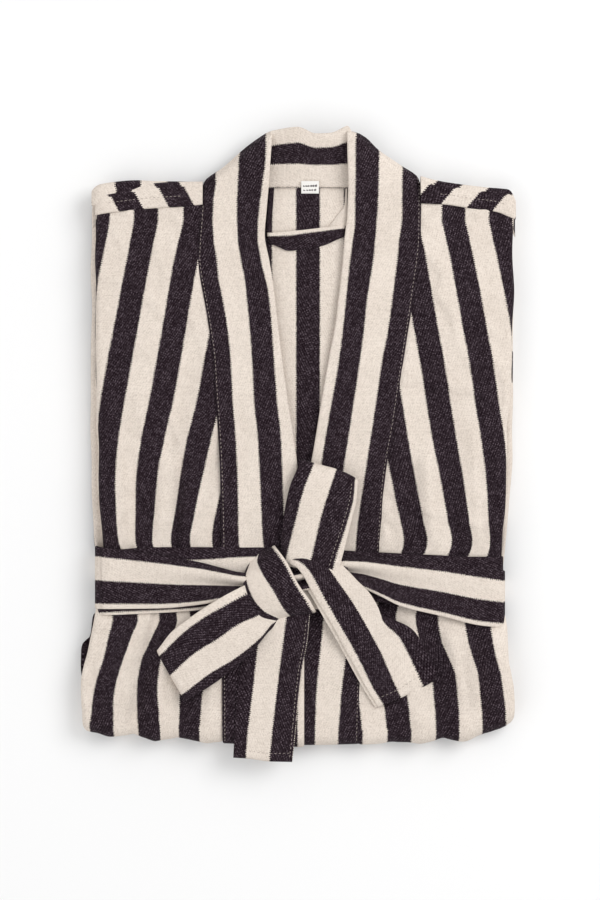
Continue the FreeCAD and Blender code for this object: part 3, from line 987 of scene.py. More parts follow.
        flat_x = np.concatenate([flat, np.repeat(inner_edge, len(turn) + len(tuck), axis=1)], axis=1)
        u = lines_to_u(flat_x, marks) + beyond
        piece = slab(self.name + "_cloth", points, np.stack([u, run], -1), self.thickness)
        self.shop.dress(piece, self.shop.finishes.cloth, "robe_cloth", (self.name,))
        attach(piece, "robe")
        self.shop.sheet(piece, "folded", ("belt_turn_inner",), (0.178, 0.93))
        self.peep()
        return piece

    def peep(self) -> None:
        """Builds the edges of the layers below where they show beyond the panel's side."""
        sign = self.side.value
        if self.side is Side.LEFT:
            parts = (
                ("lower", 9.0, ((-137, -168), (-143, -173.5), (-160, -176), (-166, -182), (-172, -183.5),
                                (-185, -183.8), (-197, -182.5), (-203, -178))),
                ("upper", 7.0, ((36, -170), (33.5, -175.2), (23, -175.2), (20, -170))),
            )
        else:
            parts = (
                ("upper", 7.0, ((82, 174), (78, 178.7), (53, 178.4), (47, 174))),
                ("lower", 7.0, ((28, 172), (24.5, 177.6), (16, 177.4), (11, 172))),
            )
        for label, height, outline in parts:
            y = np.linspace(outline[0][0], outline[-1][0], 26)[:, None]
            edge = Profile(*outline)(y)
            x = edge - sign * 26 * (1 - across(8, 26)[None, :])
            z = height + ripple(x, y, 23, 20, 0.3)
            uv = np.stack([4 + 0.4 * np.abs(x - edge), y + 0 * x], -1)
            name = f"{self.name}_{label}_layer"
            piece = slab(name, np.stack([x, y + 0 * x, z], -1), uv, self.thickness)
            self.shop.dress(piece, self.shop.finishes.cloth, "robe_cloth", (self.name,))
            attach(piece, "robe")
            long = abs(outline[0][0] - outline[-1][0]) * MM
            self.shop.sheet(piece, "folded", ("front_panel_left",), (0.026, long))


@dataclass
class CollarBand:
    """The doubled band: two lapels, and the part that stands up behind the neck."""

    shop: Workshop
    thickness: float = 3.0

    def lapel(
        self,
        name: str,
        node: str,
        outer: Profile,
        free: Profile,
        lines: list[tuple[Profile, float]],
        lie: Profile,
        flip: float,
    ) -> bpy.types.Object:
        """Builds one lapel, from the top of the neck round the bottom fold to the hem.

        Args:
            name: the piece's name.
            node: the CAD node it stands for.
            outer: the seam's x at each y, and the rolled edge above it.
            free: the free edge's x at each y.
            lines: stripe lines and their distances.
            lie: how far the band's outer face lies above the packet's at each y.
            flip: -1 for the left lapel, 1 for the right.

        Returns:
            The finished piece.
        """
        share = across(30, 55)
        column_x = np.full((1, len(share)), flip * 30.0)
        run, part = PACKET.runs(column_x, 261.0)
        y = PACKET.flat_y(column_x, run)
        y_line = np.where(part == 0, y, -241.0)
        side, edge = outer(y_line), free(y_line)
        x = side + (edge - side) * share[None, :]
        from_edge = np.abs(x - edge)
        over = lie(y_line) + ripple(x, y, 31 + int(flip), 60, 0.35)
        roll = ramp(y, 196, 232) * np.where(part == 0, 1.0, 0.0)
        hollow = 9.0 * (np.abs(x - side) < 60) * bell(x - side, 0, 7)
        over = over + roll * (8.0 * bell(from_edge, 0, 26) - hollow)
        over = over - 0.75 * cinch(y) * (part == 0)
        soft = 1.2 * bell(y, 40, 80) * (part == 0) * np.sin(math.pi * share)[None, :]
        round_fold = PACKET.turned(x, run)
        lift = np.where(part == 2, -belt_hollow(y) - 0.3, (over + soft) * (1 - round_fold) - 0.3 * round_fold)
        points = PACKET.point(x, run, self.thickness / 2 + 0.4 - lift)
        marks = [(line(y_line), mark) for line, mark in lines]
        u = lines_to_u(x, marks)
        piece = slab(name, points, np.stack([u, run], -1), self.thickness)
        first = int(np.argmax(y[:, 0] < (200 if flip < 0 else 222)))
        last = PACKET.top_rows + 4
        self.shop.stitch("robe", points, column=4, keep=slice(first, last), proud=self.thickness / 2 + 0.1)
        self.shop.dress(piece, self.shop.finishes.cloth, "robe_cloth", (node,))
        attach(piece, "robe")
        self.shop.sheet(piece, "folded", ("back_panel",), (0.062, 0.98))
        return piece

    def neck(self) -> bpy.types.Object:
        """Builds the part that stands up behind the neck, its inner face towards the front.

        Returns:
            The finished piece.
        """
        share = across(40, 70)
        rows = 40
        t = np.linspace(0, 1, rows)[:, None]
        left = Profile((0, -30), (0.7, -29), (0.87, -26.5), (1, -23.0))(t)
        right = Profile((0, 45.5), (0.7, 44.5), (0.87, 42.5), (1, 39.0))(t)
        x = left + (right - left) * share[None, :]
        brim = Profile((-24, 260.5), (-2, 263.5), (13, 258.2), (25, 258.8), (39, 264.8))(x)
        reach = Profile((0, 0), (0.30, 15.5), (0.62, 31.0), (0.88, 44.0), (0.95, 46.6), (1.0, 47.0))(t)
        climb = Profile((0, 0), (0.30, 3.0), (0.62, 7.5), (0.88, 10.5), (0.95, 9.8), (1.0, 7.0))(t)
        y = 214.6 + reach * (1 + ((brim - 214.6) / 47.0 - 1) * ramp(t, 0.1, 0.75))
        z = 18.0 + climb + 1.4 * np.cos(x / 11) * ramp(t, 0.1, 0.7)
        u = Profile((0, 20.0), (0.36, 39.0), (0.70, 60.0), (0.93, 73.0), (1.0, 79.0))(t) + 0 * x
        self.shop.stitch("robe", np.stack([x, y, z], -1), row=1, keep=slice(10, 26), proud=1.0)
        piece = slab("collar_band_neck_cloth", np.stack([x, y, z], -1), np.stack([u, x], -1), 1.8)
        self.shop.dress(piece, self.shop.finishes.cloth, "robe_cloth", ("collar_band_neck",))
        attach(piece, "robe")
        self.shop.sheet(piece, "folded", ("back_panel",), (0.084, 0.058))
        return piece

    def build(self) -> None:
        """Builds the two lapels and the neck part."""
        self.lapel(
            "collar_band_right_cloth", "collar_band_right",
            Profile((261, 45), (255.8, 55), (245.8, 65.8), (233, 84.7), (222.5, 99), *RIGHT_SEAM),
            Profile((261, 38.8), (237, 39.4), (217, 40), (192, 39.2), (171, 36.9), (154, 35.5), (121, 31.8),
                    (96, 28.6), (79, 25.2), (37, 17.8), (4, 12.5), (-15, 9), (-40, 3), (-79, -5),
                    (-150, -10), (-241, -10)),
            [
                (Profile((246, 45.8), (186, 45.8), (171, 44), (154, 41.7), (121, 38.3), (96, 35.8),
                         (71, 32.5),
                         (37, 26.7), (4, 20.8), (-12, 18.3), (-60, 10), (-79, 5.5), (-150, -5),
                         (-241, -7)), 0.0),
                (Profile((246, 65.4), (204, 65), (180, 63.3), (154, 61), (121, 55.8), (96, 53.3), (71, 50),
                         (37, 45), (4, 40), (-12, 37.5), (-79, 27), (-162, 18), (-212, 13.5),
                         (-241, 12.5)), 20.0),
                (Profile((217, 84.8), (190, 85), (171, 82.5), (154, 80.8), (121, 76.7), (96, 73.3),
                         (71, 68.3),
                         (37, 63.3), (4, 58.3), (-29, 53.3), (-62, 48.3), (-79, 46.7), (-162, 40), (-200, 35),
                         (-241, 31.7)), 40.0),
            ],
            Profile((262, 1.2), (100, 0.8), (0, 0.3), (-60, 0.0), (-241, 0.0)), 1.0,
        )
        self.lapel(
            "collar_band_left_cloth", "collar_band_left",
            Profile((261, -25.5), (253, -38), (246.7, -46.7), (231, -65), (219, -80.3), *LEFT_SEAM),
            Profile((261, -22.6), (237, -24.4), (217, -25.8), (196, -27.7), (175, -29.3), (154, -25.6),
                    (133, -22.2), (79, -15.8),
                    (37, -10), (4, -5), (-37, 0), (-79, 2), (-150, 3.5), (-241, 3.5)),
            [
                (Profile((217, -90), (204, -92), (150, -91), (121, -84), (71, -77), (4, -73.5), (-79, -71),
                         (-150, -65.6), (-241, -65.2)), -40.0),
                (Profile((217, -69.5), (204, -71.7), (186, -72.5), (171, -71.7), (154, -69.2), (137, -67.5),
                         (121, -64.2), (96, -60), (71, -57.5), (37, -55.8), (4, -53.3), (-29, -51.7),
                         (-79, -50.8), (-150, -42), (-241, -40.4)), -20.0),
                (Profile((246, -49.2), (217, -51.7), (195, -52.5), (171, -51.7), (154, -49.2), (137, -45.8),
                         (121, -44.2), (96, -41.7), (71, -40), (37, -38.3), (4, -35), (-29, -33.3),
                         (-79, -30.8), (-150, -21.5), (-241, -20.4)), 0.0),
                (Profile((262, -27.5), (237, -28.3), (217, -31.1), (196, -33.9), (175, -35.3), (154, -32.5),
                         (133, -27.5), (121, -25.5), (96, -23.3), (71, -21.7), (37, -19.2), (4, -15.8),
                         (-79, -12.5), (-150, -3), (-241, -2)), 20.0),
            ],
            Profile((262, 1.2), (100, 1.0), (30, 1.4), (-20, 2.9), (-241, 2.9)), -1.0,
        )
        self.neck()


@dataclass
class BackPanel:
    """The back panel in the neck opening, its shoulders rolled over to the front, and its layers."""

    shop: Workshop
    thickness: float = 1.2

    def build(self) -> None:
        """Builds the panel between the layers and the two shoulder rolls."""
        share = across(70, 330)
        y = np.linspace(214.5, -226, 120)[:, None]
        x = -164.0 + 328.0 * share[None, :] + 0 * y
        rise = 0.8 * bell(x, 4, 30) * ramp(y, 60, 160)
        z = 16.9 + ripple(x, y, 41, 70, 0.5) + rise - 0.75 * cinch(y) + 0 * x
        points = np.stack([x, y + 0 * x, z], -1)
        piece = slab("back_panel_cloth", points, np.stack([x + 3.33, y + 0 * x], -1), self.thickness)
        self.shop.dress(piece, self.shop.finishes.cloth, "robe_cloth", ("back_panel",))
        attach(piece, "robe")
        self.shop.sheet(piece, "folded", ("sleeve_left", "sleeve_right"), (0.328, 0.44))
        self.roll(Side.LEFT, "outer")
        self.roll(Side.LEFT, "inner")
        self.roll(Side.RIGHT, "outer")
        self.roll(Side.RIGHT, "inner")

    def roll(self, side: Side, layer: str) -> bpy.types.Object:
        """Builds one layer of the shoulder, rolled over from behind to the front.

        Args:
            side: which shoulder.
            layer: "outer" for the one in front, "inner" for the one that peeps out above it.

        Returns:
            The finished piece.
        """
        left = side is Side.LEFT
        share = across(46, 92)
        ends = (-170.5, -81.0) if left else (179.5, 100.3)
        if layer == "inner":
            ends = (-173.5, -81.0) if left else (176.0, 100.5)
        x_line = ends[0] + (ends[1] - ends[0]) * share[None, :]
        if left:
            low_edge = Profile((-170, 191), (-166.7, 191.7), (-134.4, 195.8), (-93.8, 198.5),
                               (-76, 200.5))(x_line)
            crest = Profile((-171, 206), (-159, 210.4), (-141, 213.5), (-125, 217.5), (-100, 218.7),
                            (-76, 219))(x_line)
        else:
            low_edge = Profile((97, 201), (118.8, 200), (140.7, 196.8), (163, 193.8), (174, 189.6),
                               (180, 187.5))(x_line)
            crest = Profile((97, 224.5), (113, 220), (133, 216.7), (154, 214.2), (174, 212.3),
                            (180, 206))(x_line)
        if layer == "inner":
            low_edge = low_edge + 8
            if left:
                crest = Profile((-176, 215), (-154, 219), (-137, 220.3), (-120, 219.5), (-76, 219))(x_line)
            else:
                crest = crest - 1.0
        t = np.linspace(0, 1, 46)[:, None]
        top_z = 26.0 if layer == "outer" else 24.4
        radius = 4.2 if layer == "outer" else 5.2
        front = crest - radius - low_edge
        arc = math.pi * radius
        behind = 26.0
        total = front + arc + behind
        s = t * total
        angle = np.clip((s - front) / radius, 0, math.pi)
        y = np.where(s < front, low_edge + s, crest - radius + radius * np.sin(angle))
        y = np.where(s > front + arc, crest - radius - (s - front - arc), y)
        z = np.where(s < front, top_z + 0 * s, top_z - radius + radius * np.cos(angle))
        swell = 0.9 * np.sin(math.pi * np.clip(s / front, 0, 1))
        z = z + (ripple(x_line, s, 51, 34, 0.5) - 0.4) * (s < front + arc) + swell
        end_drop = 1 - np.clip(np.abs(x_line - ends[0]) / 7, 0, 1)
        z = z - 3.2 * end_drop**2 * (s < front + arc)
        y = y - (3.5 * end_drop**2) * np.clip(s / front, 0, 1)
        slant, shift, level, period = (0.54, -159.3, 210.4, 43.5) if left else (-0.86, 100.5, 208.3, 47.5)
        if layer == "inner":
            shift, slant = (shift + 6.5, 0.1) if left else (shift, slant)
        fall = np.where(s < front, level - y, (level - crest) - (s - front))
        u = (x_line - shift - slant * fall) * (REPEAT / period)
        x = np.broadcast_to(x_line, y.shape)
        name = f"shoulder_roll_{side.name.lower()}_{layer}"
        if layer == "outer":
            middle = int(np.argmax(s.mean(axis=1) > 0.52 * front.mean()))
            self.shop.stitch("robe", np.stack([x, y, z], -1), row=middle, keep=slice(10, 42))
        piece = slab(name, np.stack([x, y, z], -1), np.stack([u, s], -1), self.thickness)
        self.shop.dress(piece, self.shop.finishes.cloth, "robe_cloth", ("back_panel",))
        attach(piece, "robe")
        long = 0.058 if layer == "outer" else 0.050
        wide = abs(ends[1] - ends[0]) * MM
        self.shop.sheet(piece, "folded", (f"front_panel_{side.name.lower()}",), (wide, long))
        return piece


@dataclass
class Sleeve:
    """A sleeve, pressed flat and folded down between the layers."""

    side: Side
    shop: Workshop

    def build(self) -> bpy.types.Object:
        """Builds the flattened sleeve, with its folded edge at the packet's side.

        Returns:
            The finished piece.
        """
        sign = self.side.value
        share = across(40, 170)
        y = np.linspace(207, -222, 110)[:, None]
        out = Profile((210, 171), (60, 171), (-60, 167), (-118, 160), (-170, 170), (-225, 172))(y)
        x = sign * (3.0 + (out - 3.0 + ripple(y, 0 * y, 61 + int(sign), 45, 1.1)) * share[None, :])
        z = 12.3 + ripple(x, y, 62, 70, 0.25) + 0 * x
        node = f"sleeve_{self.side.name.lower()}"
        u = x + 8.0 * np.sin(y / 60) + 4.0
        piece = slab(node + "_cloth", np.stack([x, y + 0 * x, z], -1), np.stack([u, y + 0 * x], -1), 4.2)
        self.shop.dress(piece, self.shop.finishes.cloth, "robe_cloth", (node,))
        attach(piece, "robe")
        self.shop.sheet(piece, "folded", ("back_panel",), (0.170, 0.43))
        return piece


# ---------------------------------------------------------------- the belt


BELT_WIDTH = 53.0


@dataclass
class BeltTurn:
    """One turn of the belt round the waist, gathered where it runs into the knot."""

    name: str
    shop: Workshop
    upper: Profile
    lower: Profile
    crest: Profile
    under: float
    reach: float
    start_u: Profile
    thickness: float = 1.9
    top_steps: int = 150
    side_steps: int = 16
    under_steps: int = 60

    def beneath(self, edge: Profile, x: Array) -> Array:
        """One edge of the turn where it runs straight across beneath the packet.

        Args:
            edge: the edge's curve on top of the packet.
            x: distances across the packet.

        Returns:
            The edge's distance along the packet at each x.
        """
        return edge(self.reach) + (edge(-self.reach) - edge(self.reach)) * (self.reach - x) / (2 * self.reach)

    def build(self) -> bpy.types.Object:
        """Builds the turn as one closed loop of doubled cloth.

        Returns:
            The finished piece.
        """
        share = across(26, BELT_WIDTH)
        top_x = np.linspace(-self.reach, self.reach, self.top_steps)
        turn = np.linspace(0, math.pi, self.side_steps + 2)[1:-1]
        z_side = float(self.crest(self.reach))
        half = (z_side - self.under) / 2
        mid_z = self.under + half
        bulge = 5.0
        under_x = np.linspace(self.reach, -self.reach, self.under_steps)
        path_x = [top_x, self.reach + bulge * np.sin(turn) ** 0.7, under_x]
        path_x.append(-self.reach - bulge * np.sin(turn[::-1]) ** 0.7)
        path_z = [self.crest(top_x), mid_z + half * np.cos(turn), np.full(self.under_steps, self.under)]
        path_z.append(mid_z + half * np.cos(turn[::-1]))
        x, z = np.concatenate(path_x)[:, None], np.concatenate(path_z)[:, None]
        up, low = self.upper(x), self.lower(x)
        on_top = np.concatenate([np.ones(self.top_steps), np.zeros(len(x) - self.top_steps)])[:, None]
        ahead = np.concatenate([
            np.zeros(self.top_steps + self.side_steps), np.ones(self.under_steps), np.zeros(self.side_steps),
        ])[:, None]
        up = np.where(ahead > 0, self.beneath(self.upper, x), up)
        low = np.where(ahead > 0, self.beneath(self.lower, x), low)
        y = low + (up - low) * share[None, :]
        squeeze = np.clip((BELT_WIDTH - (up - low)) / BELT_WIDTH, 0, 0.75)
        pleat = np.sin(share[None, :] * math.pi * 3.0 + 0.6) * squeeze * 7.0
        z = z + (pleat + ripple(x, y, 71 + len(self.name), 36, 0.35)) * on_top + 0 * y
        u = self.start_u(x) + BELT_WIDTH * share[None, :] + 0 * x
        points = np.stack([x + 0 * y, y, z], -1)
        step = np.linalg.norm(np.diff(points[:, 15], axis=0), axis=1)
        v = np.concatenate([[0], np.cumsum(step)])[:, None] + 0 * y
        points = np.concatenate([points, points[:1]])
        uv = np.stack([u, v], -1)
        uv = np.concatenate([uv, uv[:1] + np.array([0.0, 3.0])])
        piece = slab(self.name + "_cloth", points, uv, self.thickness, round_ends=False)
        self.shop.dress(piece, self.shop.finishes.cloth, "belt_cloth", (self.name,))
        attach(piece, "robe")
        self.shop.sheet(piece, "stretched", ("front_panel_left", "front_panel_right"), (0.053, 0.70))
        return piece


Row = tuple[tuple[float, float, float], ...]


@dataclass
class Strap:
    """A length of narrow cloth, given by where its stripes' edges run.

    Each row holds one (x, y, z) in millimetres for every mark across the strap, from its start
    outwards.
    """

    name: str
    shop: Workshop
    marks: tuple[float, ...]
    rows: tuple[Row, ...]
    nodes: tuple[str, ...]
    flat: tuple[float, float]
    gap: float = 0.0
    body: str = "robe"
    hinge: tuple[float, float, float] = (0.0, 0.0, 0.0)
    heading: float = 0.0
    bend: float = 16.0
    thickness: float = 1.9
    crumple: float = 0.35
    seed: int = 80
    slot: str = "belt_cloth"
    stitched: tuple[float, ...] = ()
    stitched_end: bool = False
    rests_on: tuple[str, ...] = ("belt_turn_outer", "front_panel_left")
    part_of: bool = False
    with_pieces: tuple[bpy.types.Object, ...] = ()

    def surface(self, count: int) -> tuple[Array, Array]:
        """The strap's middle surface.

        Args:
            count: how many rows of points along it.

        Returns:
            The points and their cloth coordinates.
        """
        width = self.marks[-1] - self.marks[0]
        share = across(30, width)
        u = self.marks[0] + width * share
        rail = np.array(self.rows, float)
        reach = np.linalg.norm(np.diff(rail[:, len(self.marks) // 2], axis=0), axis=1)
        at = np.concatenate([[0], np.cumsum(reach)]) / reach.sum()
        t = np.linspace(0, 1, count)
        along = np.array(
            [[Profile(*zip(at, rail[:, m, k]))(t) for k in range(3)] for m in range(len(self.marks))]
        )
        points = np.zeros((count, len(share), 3))
        for i in range(count):
            for k in range(3):
                points[i, :, k] = Profile(*zip(self.marks, along[:, k, i]))(u)
        points[..., 2] += ripple(points[..., 0], points[..., 1], self.seed, 22, self.crumple)
        if self.gap > 0:
            out = points[-1] - points[-4]
            out[:, 2] = 0
            out /= np.linalg.norm(out, axis=1, keepdims=True)
            centre = points[-1] - np.array([0, 0, self.gap / 2])
            turn = np.linspace(0, math.pi, 14)[1:-1, None, None]
            up = np.array([0, 0, 1.0])
            bulge = centre + self.gap / 2 * (np.sin(turn) * out[None] + np.cos(turn) * up)
            shut = ramp(np.linspace(1, 0, count), 0.0, 0.25)[:, None] * 0.85 + 0.15
            below = points[::-1].copy()
            below[..., 2] -= self.gap * shut[::-1]
            points = np.concatenate([points, bulge, below])
        step = np.linalg.norm(np.diff(points[:, len(share) // 2], axis=0), axis=1)
        v = np.concatenate([[0], np.cumsum(step)])[:, None] + 0 * share[None, :]
        return points, np.stack([u[None, :] + 0 * v, v], -1)

    def build(self) -> bpy.types.Object:
        """Builds the strap, and hangs it from the robe's body or notes the hinge of the body it lifts with.

        Returns:
            The finished piece.
        """
        count = 60
        points, uv = self.surface(count)
        piece = slab(self.name + "_cloth", points, uv, self.thickness)
        proud = self.thickness / 2 + 0.1
        for mark in self.stitched:
            column = int(np.argmin(np.abs(uv[0, :, 0] - mark)))
            self.shop.stitch(self.body, points, column=column, keep=slice(6, count - 2), proud=proud)
        if self.stitched_end:
            self.shop.stitch(self.body, points, row=count - 4, keep=slice(6, 30), proud=proud)
        self.shop.dress(piece, self.shop.finishes.cloth, self.slot, self.nodes)
        if self.body == "robe":
            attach(piece, "robe")
        else:
            away = Vector((math.cos(math.radians(self.heading)), math.sin(math.radians(self.heading)), 0.0))
            start = Vector(self.hinge) * MM - away * 3 * MM
            end = start + away * self.bend * MM
            self.shop.joins[self.body] = (start, end)
            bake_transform(piece)
        if not self.part_of:
            self.shop.sheet(piece, "folded", self.rests_on, self.flat, self.with_pieces)
        return piece


@dataclass
class Belt:
    """The belt: two turns, the knot, two bow loops and two tails."""

    shop: Workshop

    def turns(self) -> None:
        """Builds the two turns round the waist."""
        BeltTurn(
            "belt_turn_inner", self.shop,
            upper=Profile((-168, -91.5), (-150, -87), (-120, -85), (-50, -85), (0, -86), (50, -88.5),
                          (100, -91), (150, -93), (168, -93)),
            lower=Profile((-168, -142), (-117, -139.8), (-83, -137.4), (-50, -127), (-20, -122),
                          (20, -122), (60, -130), (168, -139)),
            crest=Profile((-166, 22.0), (-156, 24.3), (-100, 24.8), (-40, 26.5), (0, 27.5), (40, 26.5),
                          (100, 24.8), (156, 24.5), (166, 22.0)),
            under=4.0, reach=164.0, start_u=Profile((-40, -2.4), (40, 4.0)),
        ).build()
        BeltTurn(
            "belt_turn_outer", self.shop,
            upper=Profile((-168, -84.5), (-117, -91.5), (-83, -97.5), (-66, -102), (-50, -106),
                          (-20, -108), (20, -99), (36, -93), (50, -93), (83, -94.5), (117, -97.5),
                          (150, -102), (168, -105)),
            lower=Profile((-168, -136.5), (-117, -135.8), (-83, -132.5), (-66, -129), (-50, -126),
                          (-20, -124), (20, -117), (36, -115), (50, -118), (66, -125), (83, -133.5),
                          (117, -142), (150, -150), (168, -151.8)),
            crest=Profile((-168, 23.5), (-157, 26.8), (-100, 27.8), (-50, 31.5), (-15, 34), (20, 33),
                          (50, 30.5), (100, 28.0), (157, 26.8), (168, 23.5)),
            under=1.3, reach=165.5, start_u=Profile((-40, -4.5), (40, -4.0)),
        ).build()

    def knot(self) -> None:
        """Builds the wrap over the knot and the cloth that fills it."""
        Strap(
            "belt_knot_wrap", self.shop, (-2.5, 0, 20, 40, 47),
            (
                ((-21, -83.5, 27), (-23.5, -85, 28), (-33.5, -89, 27), (-38.5, -92.5, 26), (-40, -96, 25)),
                ((-18.5, -86.5, 35.5), (-21, -87.5, 36), (-35, -96.5, 31.5), (-41.5, -100, 29),
                 (-44, -102.5, 26)),
                ((-11.5, -96, 40), (-14, -96.5, 41.5), (-31, -106, 39.5), (-44, -109, 36.5),
                 (-46.5, -113.5, 33)),
                ((-2, -114, 41.5), (-4, -115, 43), (-21.5, -121, 42), (-39.5, -124, 39), (-42, -130, 35.5)),
                ((7.5, -128, 39), (5, -129, 41), (-14, -134, 40.5), (-30, -136.5, 38), (-31.5, -143, 35)),
                ((12.5, -136.5, 33), (10, -137.5, 34), (-9, -140.5, 34), (-18.5, -143, 33),
                 (-20, -146.5, 31)),
                ((13.5, -138, 27), (11, -139, 27), (-7.5, -142.5, 27), (-16, -145, 27), (-17.5, -148.5, 26)),
            ),
            nodes=("belt_knot",), flat=(0.0495, 0.075), seed=91,
        ).build()
        Strap(
            "belt_knot_core", self.shop, (2, 20, 31, 42),
            (
                ((-36.5, -94, 28), (-36.5, -119, 28.5), (-36.5, -129, 28.5), (-36.5, -137.5, 28)),
                ((-16.5, -96, 31), (-16.5, -120, 32), (-16.5, -129, 31.5), (-16.5, -138.5, 29)),
                ((3.5, -96.5, 31), (3.5, -119.5, 32.5), (3.5, -130, 32), (3.5, -138.5, 29)),
                ((25, -96.5, 30), (25, -119, 30), (25, -128.5, 29.5), (25, -135, 28)),
            ),
            nodes=("belt_knot",), flat=(0.040, 0.063), seed=92,
        ).build()

    def loops(self) -> None:
        """Builds the two bow loops, each folded over at its end."""
        Strap(
            "bow_loop_top", self.shop, (-4.5, 0, 20, 40, 50),
            (
                ((30, -108.5, 34), (25.5, -108.5, 35), (6, -103.5, 36), (-12.5, -100, 33.5),
                 (-16.5, -98.5, 30)),
                ((34, -96, 38.5), (29, -95, 40), (9.5, -92.5, 39.5), (-10.5, -91, 36.5), (-16, -89, 32)),
                ((41.5, -66, 41), (38.5, -65, 42.5), (16.5, -62.5, 42.5), (-3, -61.5, 40), (-14, -63.5, 34)),
                ((46.5, -45, 41), (44, -44, 42.5), (23.5, -39, 42.5), (3.5, -36.5, 40), (-9, -36.5, 34.5)),
                ((47.5, -35, 38), (45, -32.5, 38.5), (28.5, -25, 39), (10, -20, 38), (-1, -16.5, 34.5)),
            ),
            gap=9.0, body="bow_loop_top", hinge=(-0.92, -87.88, 42.6), heading=70.0,
            nodes=("bow_loop_top",), flat=(0.0545, 0.185), seed=81, stitched=(3.2,),
        ).build()
        Strap(
            "bow_loop_left", self.shop, (-5, 0, 20, 40, 50),
            (
                ((-31.5, -110, 31), (-31, -116, 32), (-23.5, -134, 31), (-16, -143.5, 30), (-14, -147.5, 29)),
                ((-43.5, -115, 35), (-41.5, -121.5, 36), (-34, -141, 35.5), (-24, -148.5, 34),
                 (-25, -153.5, 32)),
                ((-66, -126.5, 40), (-59, -131, 41.5), (-49, -147, 41.5), (-34, -160, 39.5),
                 (-36.5, -166.5, 36)),
                ((-89, -141.5, 40), (-81, -143.5, 41.5), (-68, -160, 41.5), (-54, -176, 39.5),
                 (-55, -185, 36)),
                ((-107, -155.5, 38.5), (-99, -157.5, 39.5), (-89, -173.5, 40), (-76.5, -190, 38),
                 (-76.5, -201, 34.5)),
                ((-115.5, -166.5, 36), (-113, -171.5, 36.5), (-104, -187.5, 37), (-94.5, -204, 35.5),
                 (-91.5, -210, 33)),
            ),
            gap=8.5, body="bow_loop_left", hinge=(-38.1, -127.0, 44.3), heading=221.0,
            nodes=("bow_loop_left",), flat=(0.055, 0.21), seed=82,
        ).build()

    def tails(self) -> None:
        """Builds the two tails."""
        Strap(
            "belt_tail_right", self.shop, (-5, 0, 20, 40, 51),
            (
                ((-11.5, -98, 34), (-11, -94.5, 34), (5, -90, 31), (18.5, -86.5, 30), (25, -85, 29)),
                ((-4.5, -100, 38.5), (-1.5, -96, 40), (15, -92.5, 35.5), (26.5, -91, 33), (30, -90, 31)),
                ((3, -108.5, 39.5), (7, -103, 41.5), (23, -101.5, 37.5), (36, -101, 35), (38.5, -100, 32)),
                ((8.5, -119, 39), (13.5, -113.5, 40.5), (30.5, -112, 38), (46, -112, 35), (41.5, -115, 32)),
                ((15.5, -131, 37), (21, -128, 38.5), (38.5, -123, 37), (56.5, -122.5, 35),
                 (51, -126.5, 31.5)),
                ((26.5, -149, 34.5), (31, -145.5, 35.5), (47.5, -136.5, 35), (63.5, -134, 34),
                 (56, -139, 30.5)),
                ((35.5, -166, 32), (41, -163, 33), (56.5, -152.5, 33.5), (69, -146.5, 33.5),
                 (73.5, -143.5, 31)),
                ((46, -185, 30), (51, -182, 31), (66.5, -171, 31.5), (81.5, -159, 31), (92.5, -152.5, 29)),
                ((55.5, -202.5, 28.5), (60, -200.5, 29), (76, -192.5, 29.5), (92.5, -179, 29),
                 (105, -171.5, 28)),
                ((65, -218, 27), (69.5, -216, 27.5), (84, -210, 27.5), (102.5, -201, 27.5), (115, -194, 27)),
            ),
            body="belt_tail_right", hinge=(10.08, -127.0, 34.5), heading=-44.0,
            nodes=("belt_tail_right",), flat=(0.054, 0.155), seed=83, stitched_end=True,
        ).build()
        Strap(
            "belt_tail_right_under", self.shop, (-5, 0, 12),
            (
                ((6, -120, 37), (11, -115, 38.5), (19.5, -113.5, 36)),
                ((13.5, -132.5, 35), (19.5, -128.5, 36.5), (28, -125, 35)),
                ((24, -151, 32.5), (30, -146.5, 33.5), (38, -141.5, 33)),
                ((33.5, -167.5, 30), (39.5, -164, 31), (48, -158.5, 31)),
                ((43.5, -186.5, 28), (49.5, -183, 29), (58, -177.5, 29.5)),
                ((53.5, -204, 27), (59, -201.5, 27.5), (68, -197.5, 27.5)),
                ((63, -219, 26), (68, -217, 26), (77, -213.5, 26)),
            ),
            body="belt_tail_right", hinge=(10.08, -127.0, 34.5), heading=-44.0, thickness=1.0,
            nodes=("belt_tail_right",), flat=(0.017, 0.118), seed=83,
        ).build()
        Strap(
            "belt_tail_down", self.shop, (0, 20, 40, 51),
            (
                ((9, -131.5, 29), (-10, -131.5, 30), (-26.5, -134, 30), (-35, -136, 28)),
                ((8, -143.5, 31.5), (-11.5, -143.5, 32), (-30, -143.5, 31), (-40, -143.5, 29)),
                ((6, -163.5, 30.5), (-14, -163.5, 31), (-34.5, -163.5, 30.5), (-44, -163.5, 29)),
                ((1.5, -186, 29), (-17, -186, 29.5), (-37, -186, 29), (-50, -186, 28)),
                ((-1.5, -211, 28), (-20, -211, 28.5), (-40, -211, 28.5), (-53, -211, 27.5)),
                ((-4, -241, 27), (-23.5, -242.5, 27.5), (-43.5, -241, 27.5), (-54.5, -241, 27)),
                ((-6.5, -263.5, 26.5), (-25.5, -263, 26.5), (-45, -260.5, 26.5), (-55.5, -260, 26)),
            ),
            body="belt_tail_down", hinge=(-15.0, -148.12, 31.9), heading=-97.5,
            nodes=("belt_tail_down",), flat=(0.050, 0.13), seed=84, stitched=(3.0,), stitched_end=True,
        ).build()

    def build(self) -> None:
        """Builds the whole belt."""
        self.turns()
        self.knot()
        self.loops()
        self.tails()


# ---------------------------------------------------------------- neck fittings


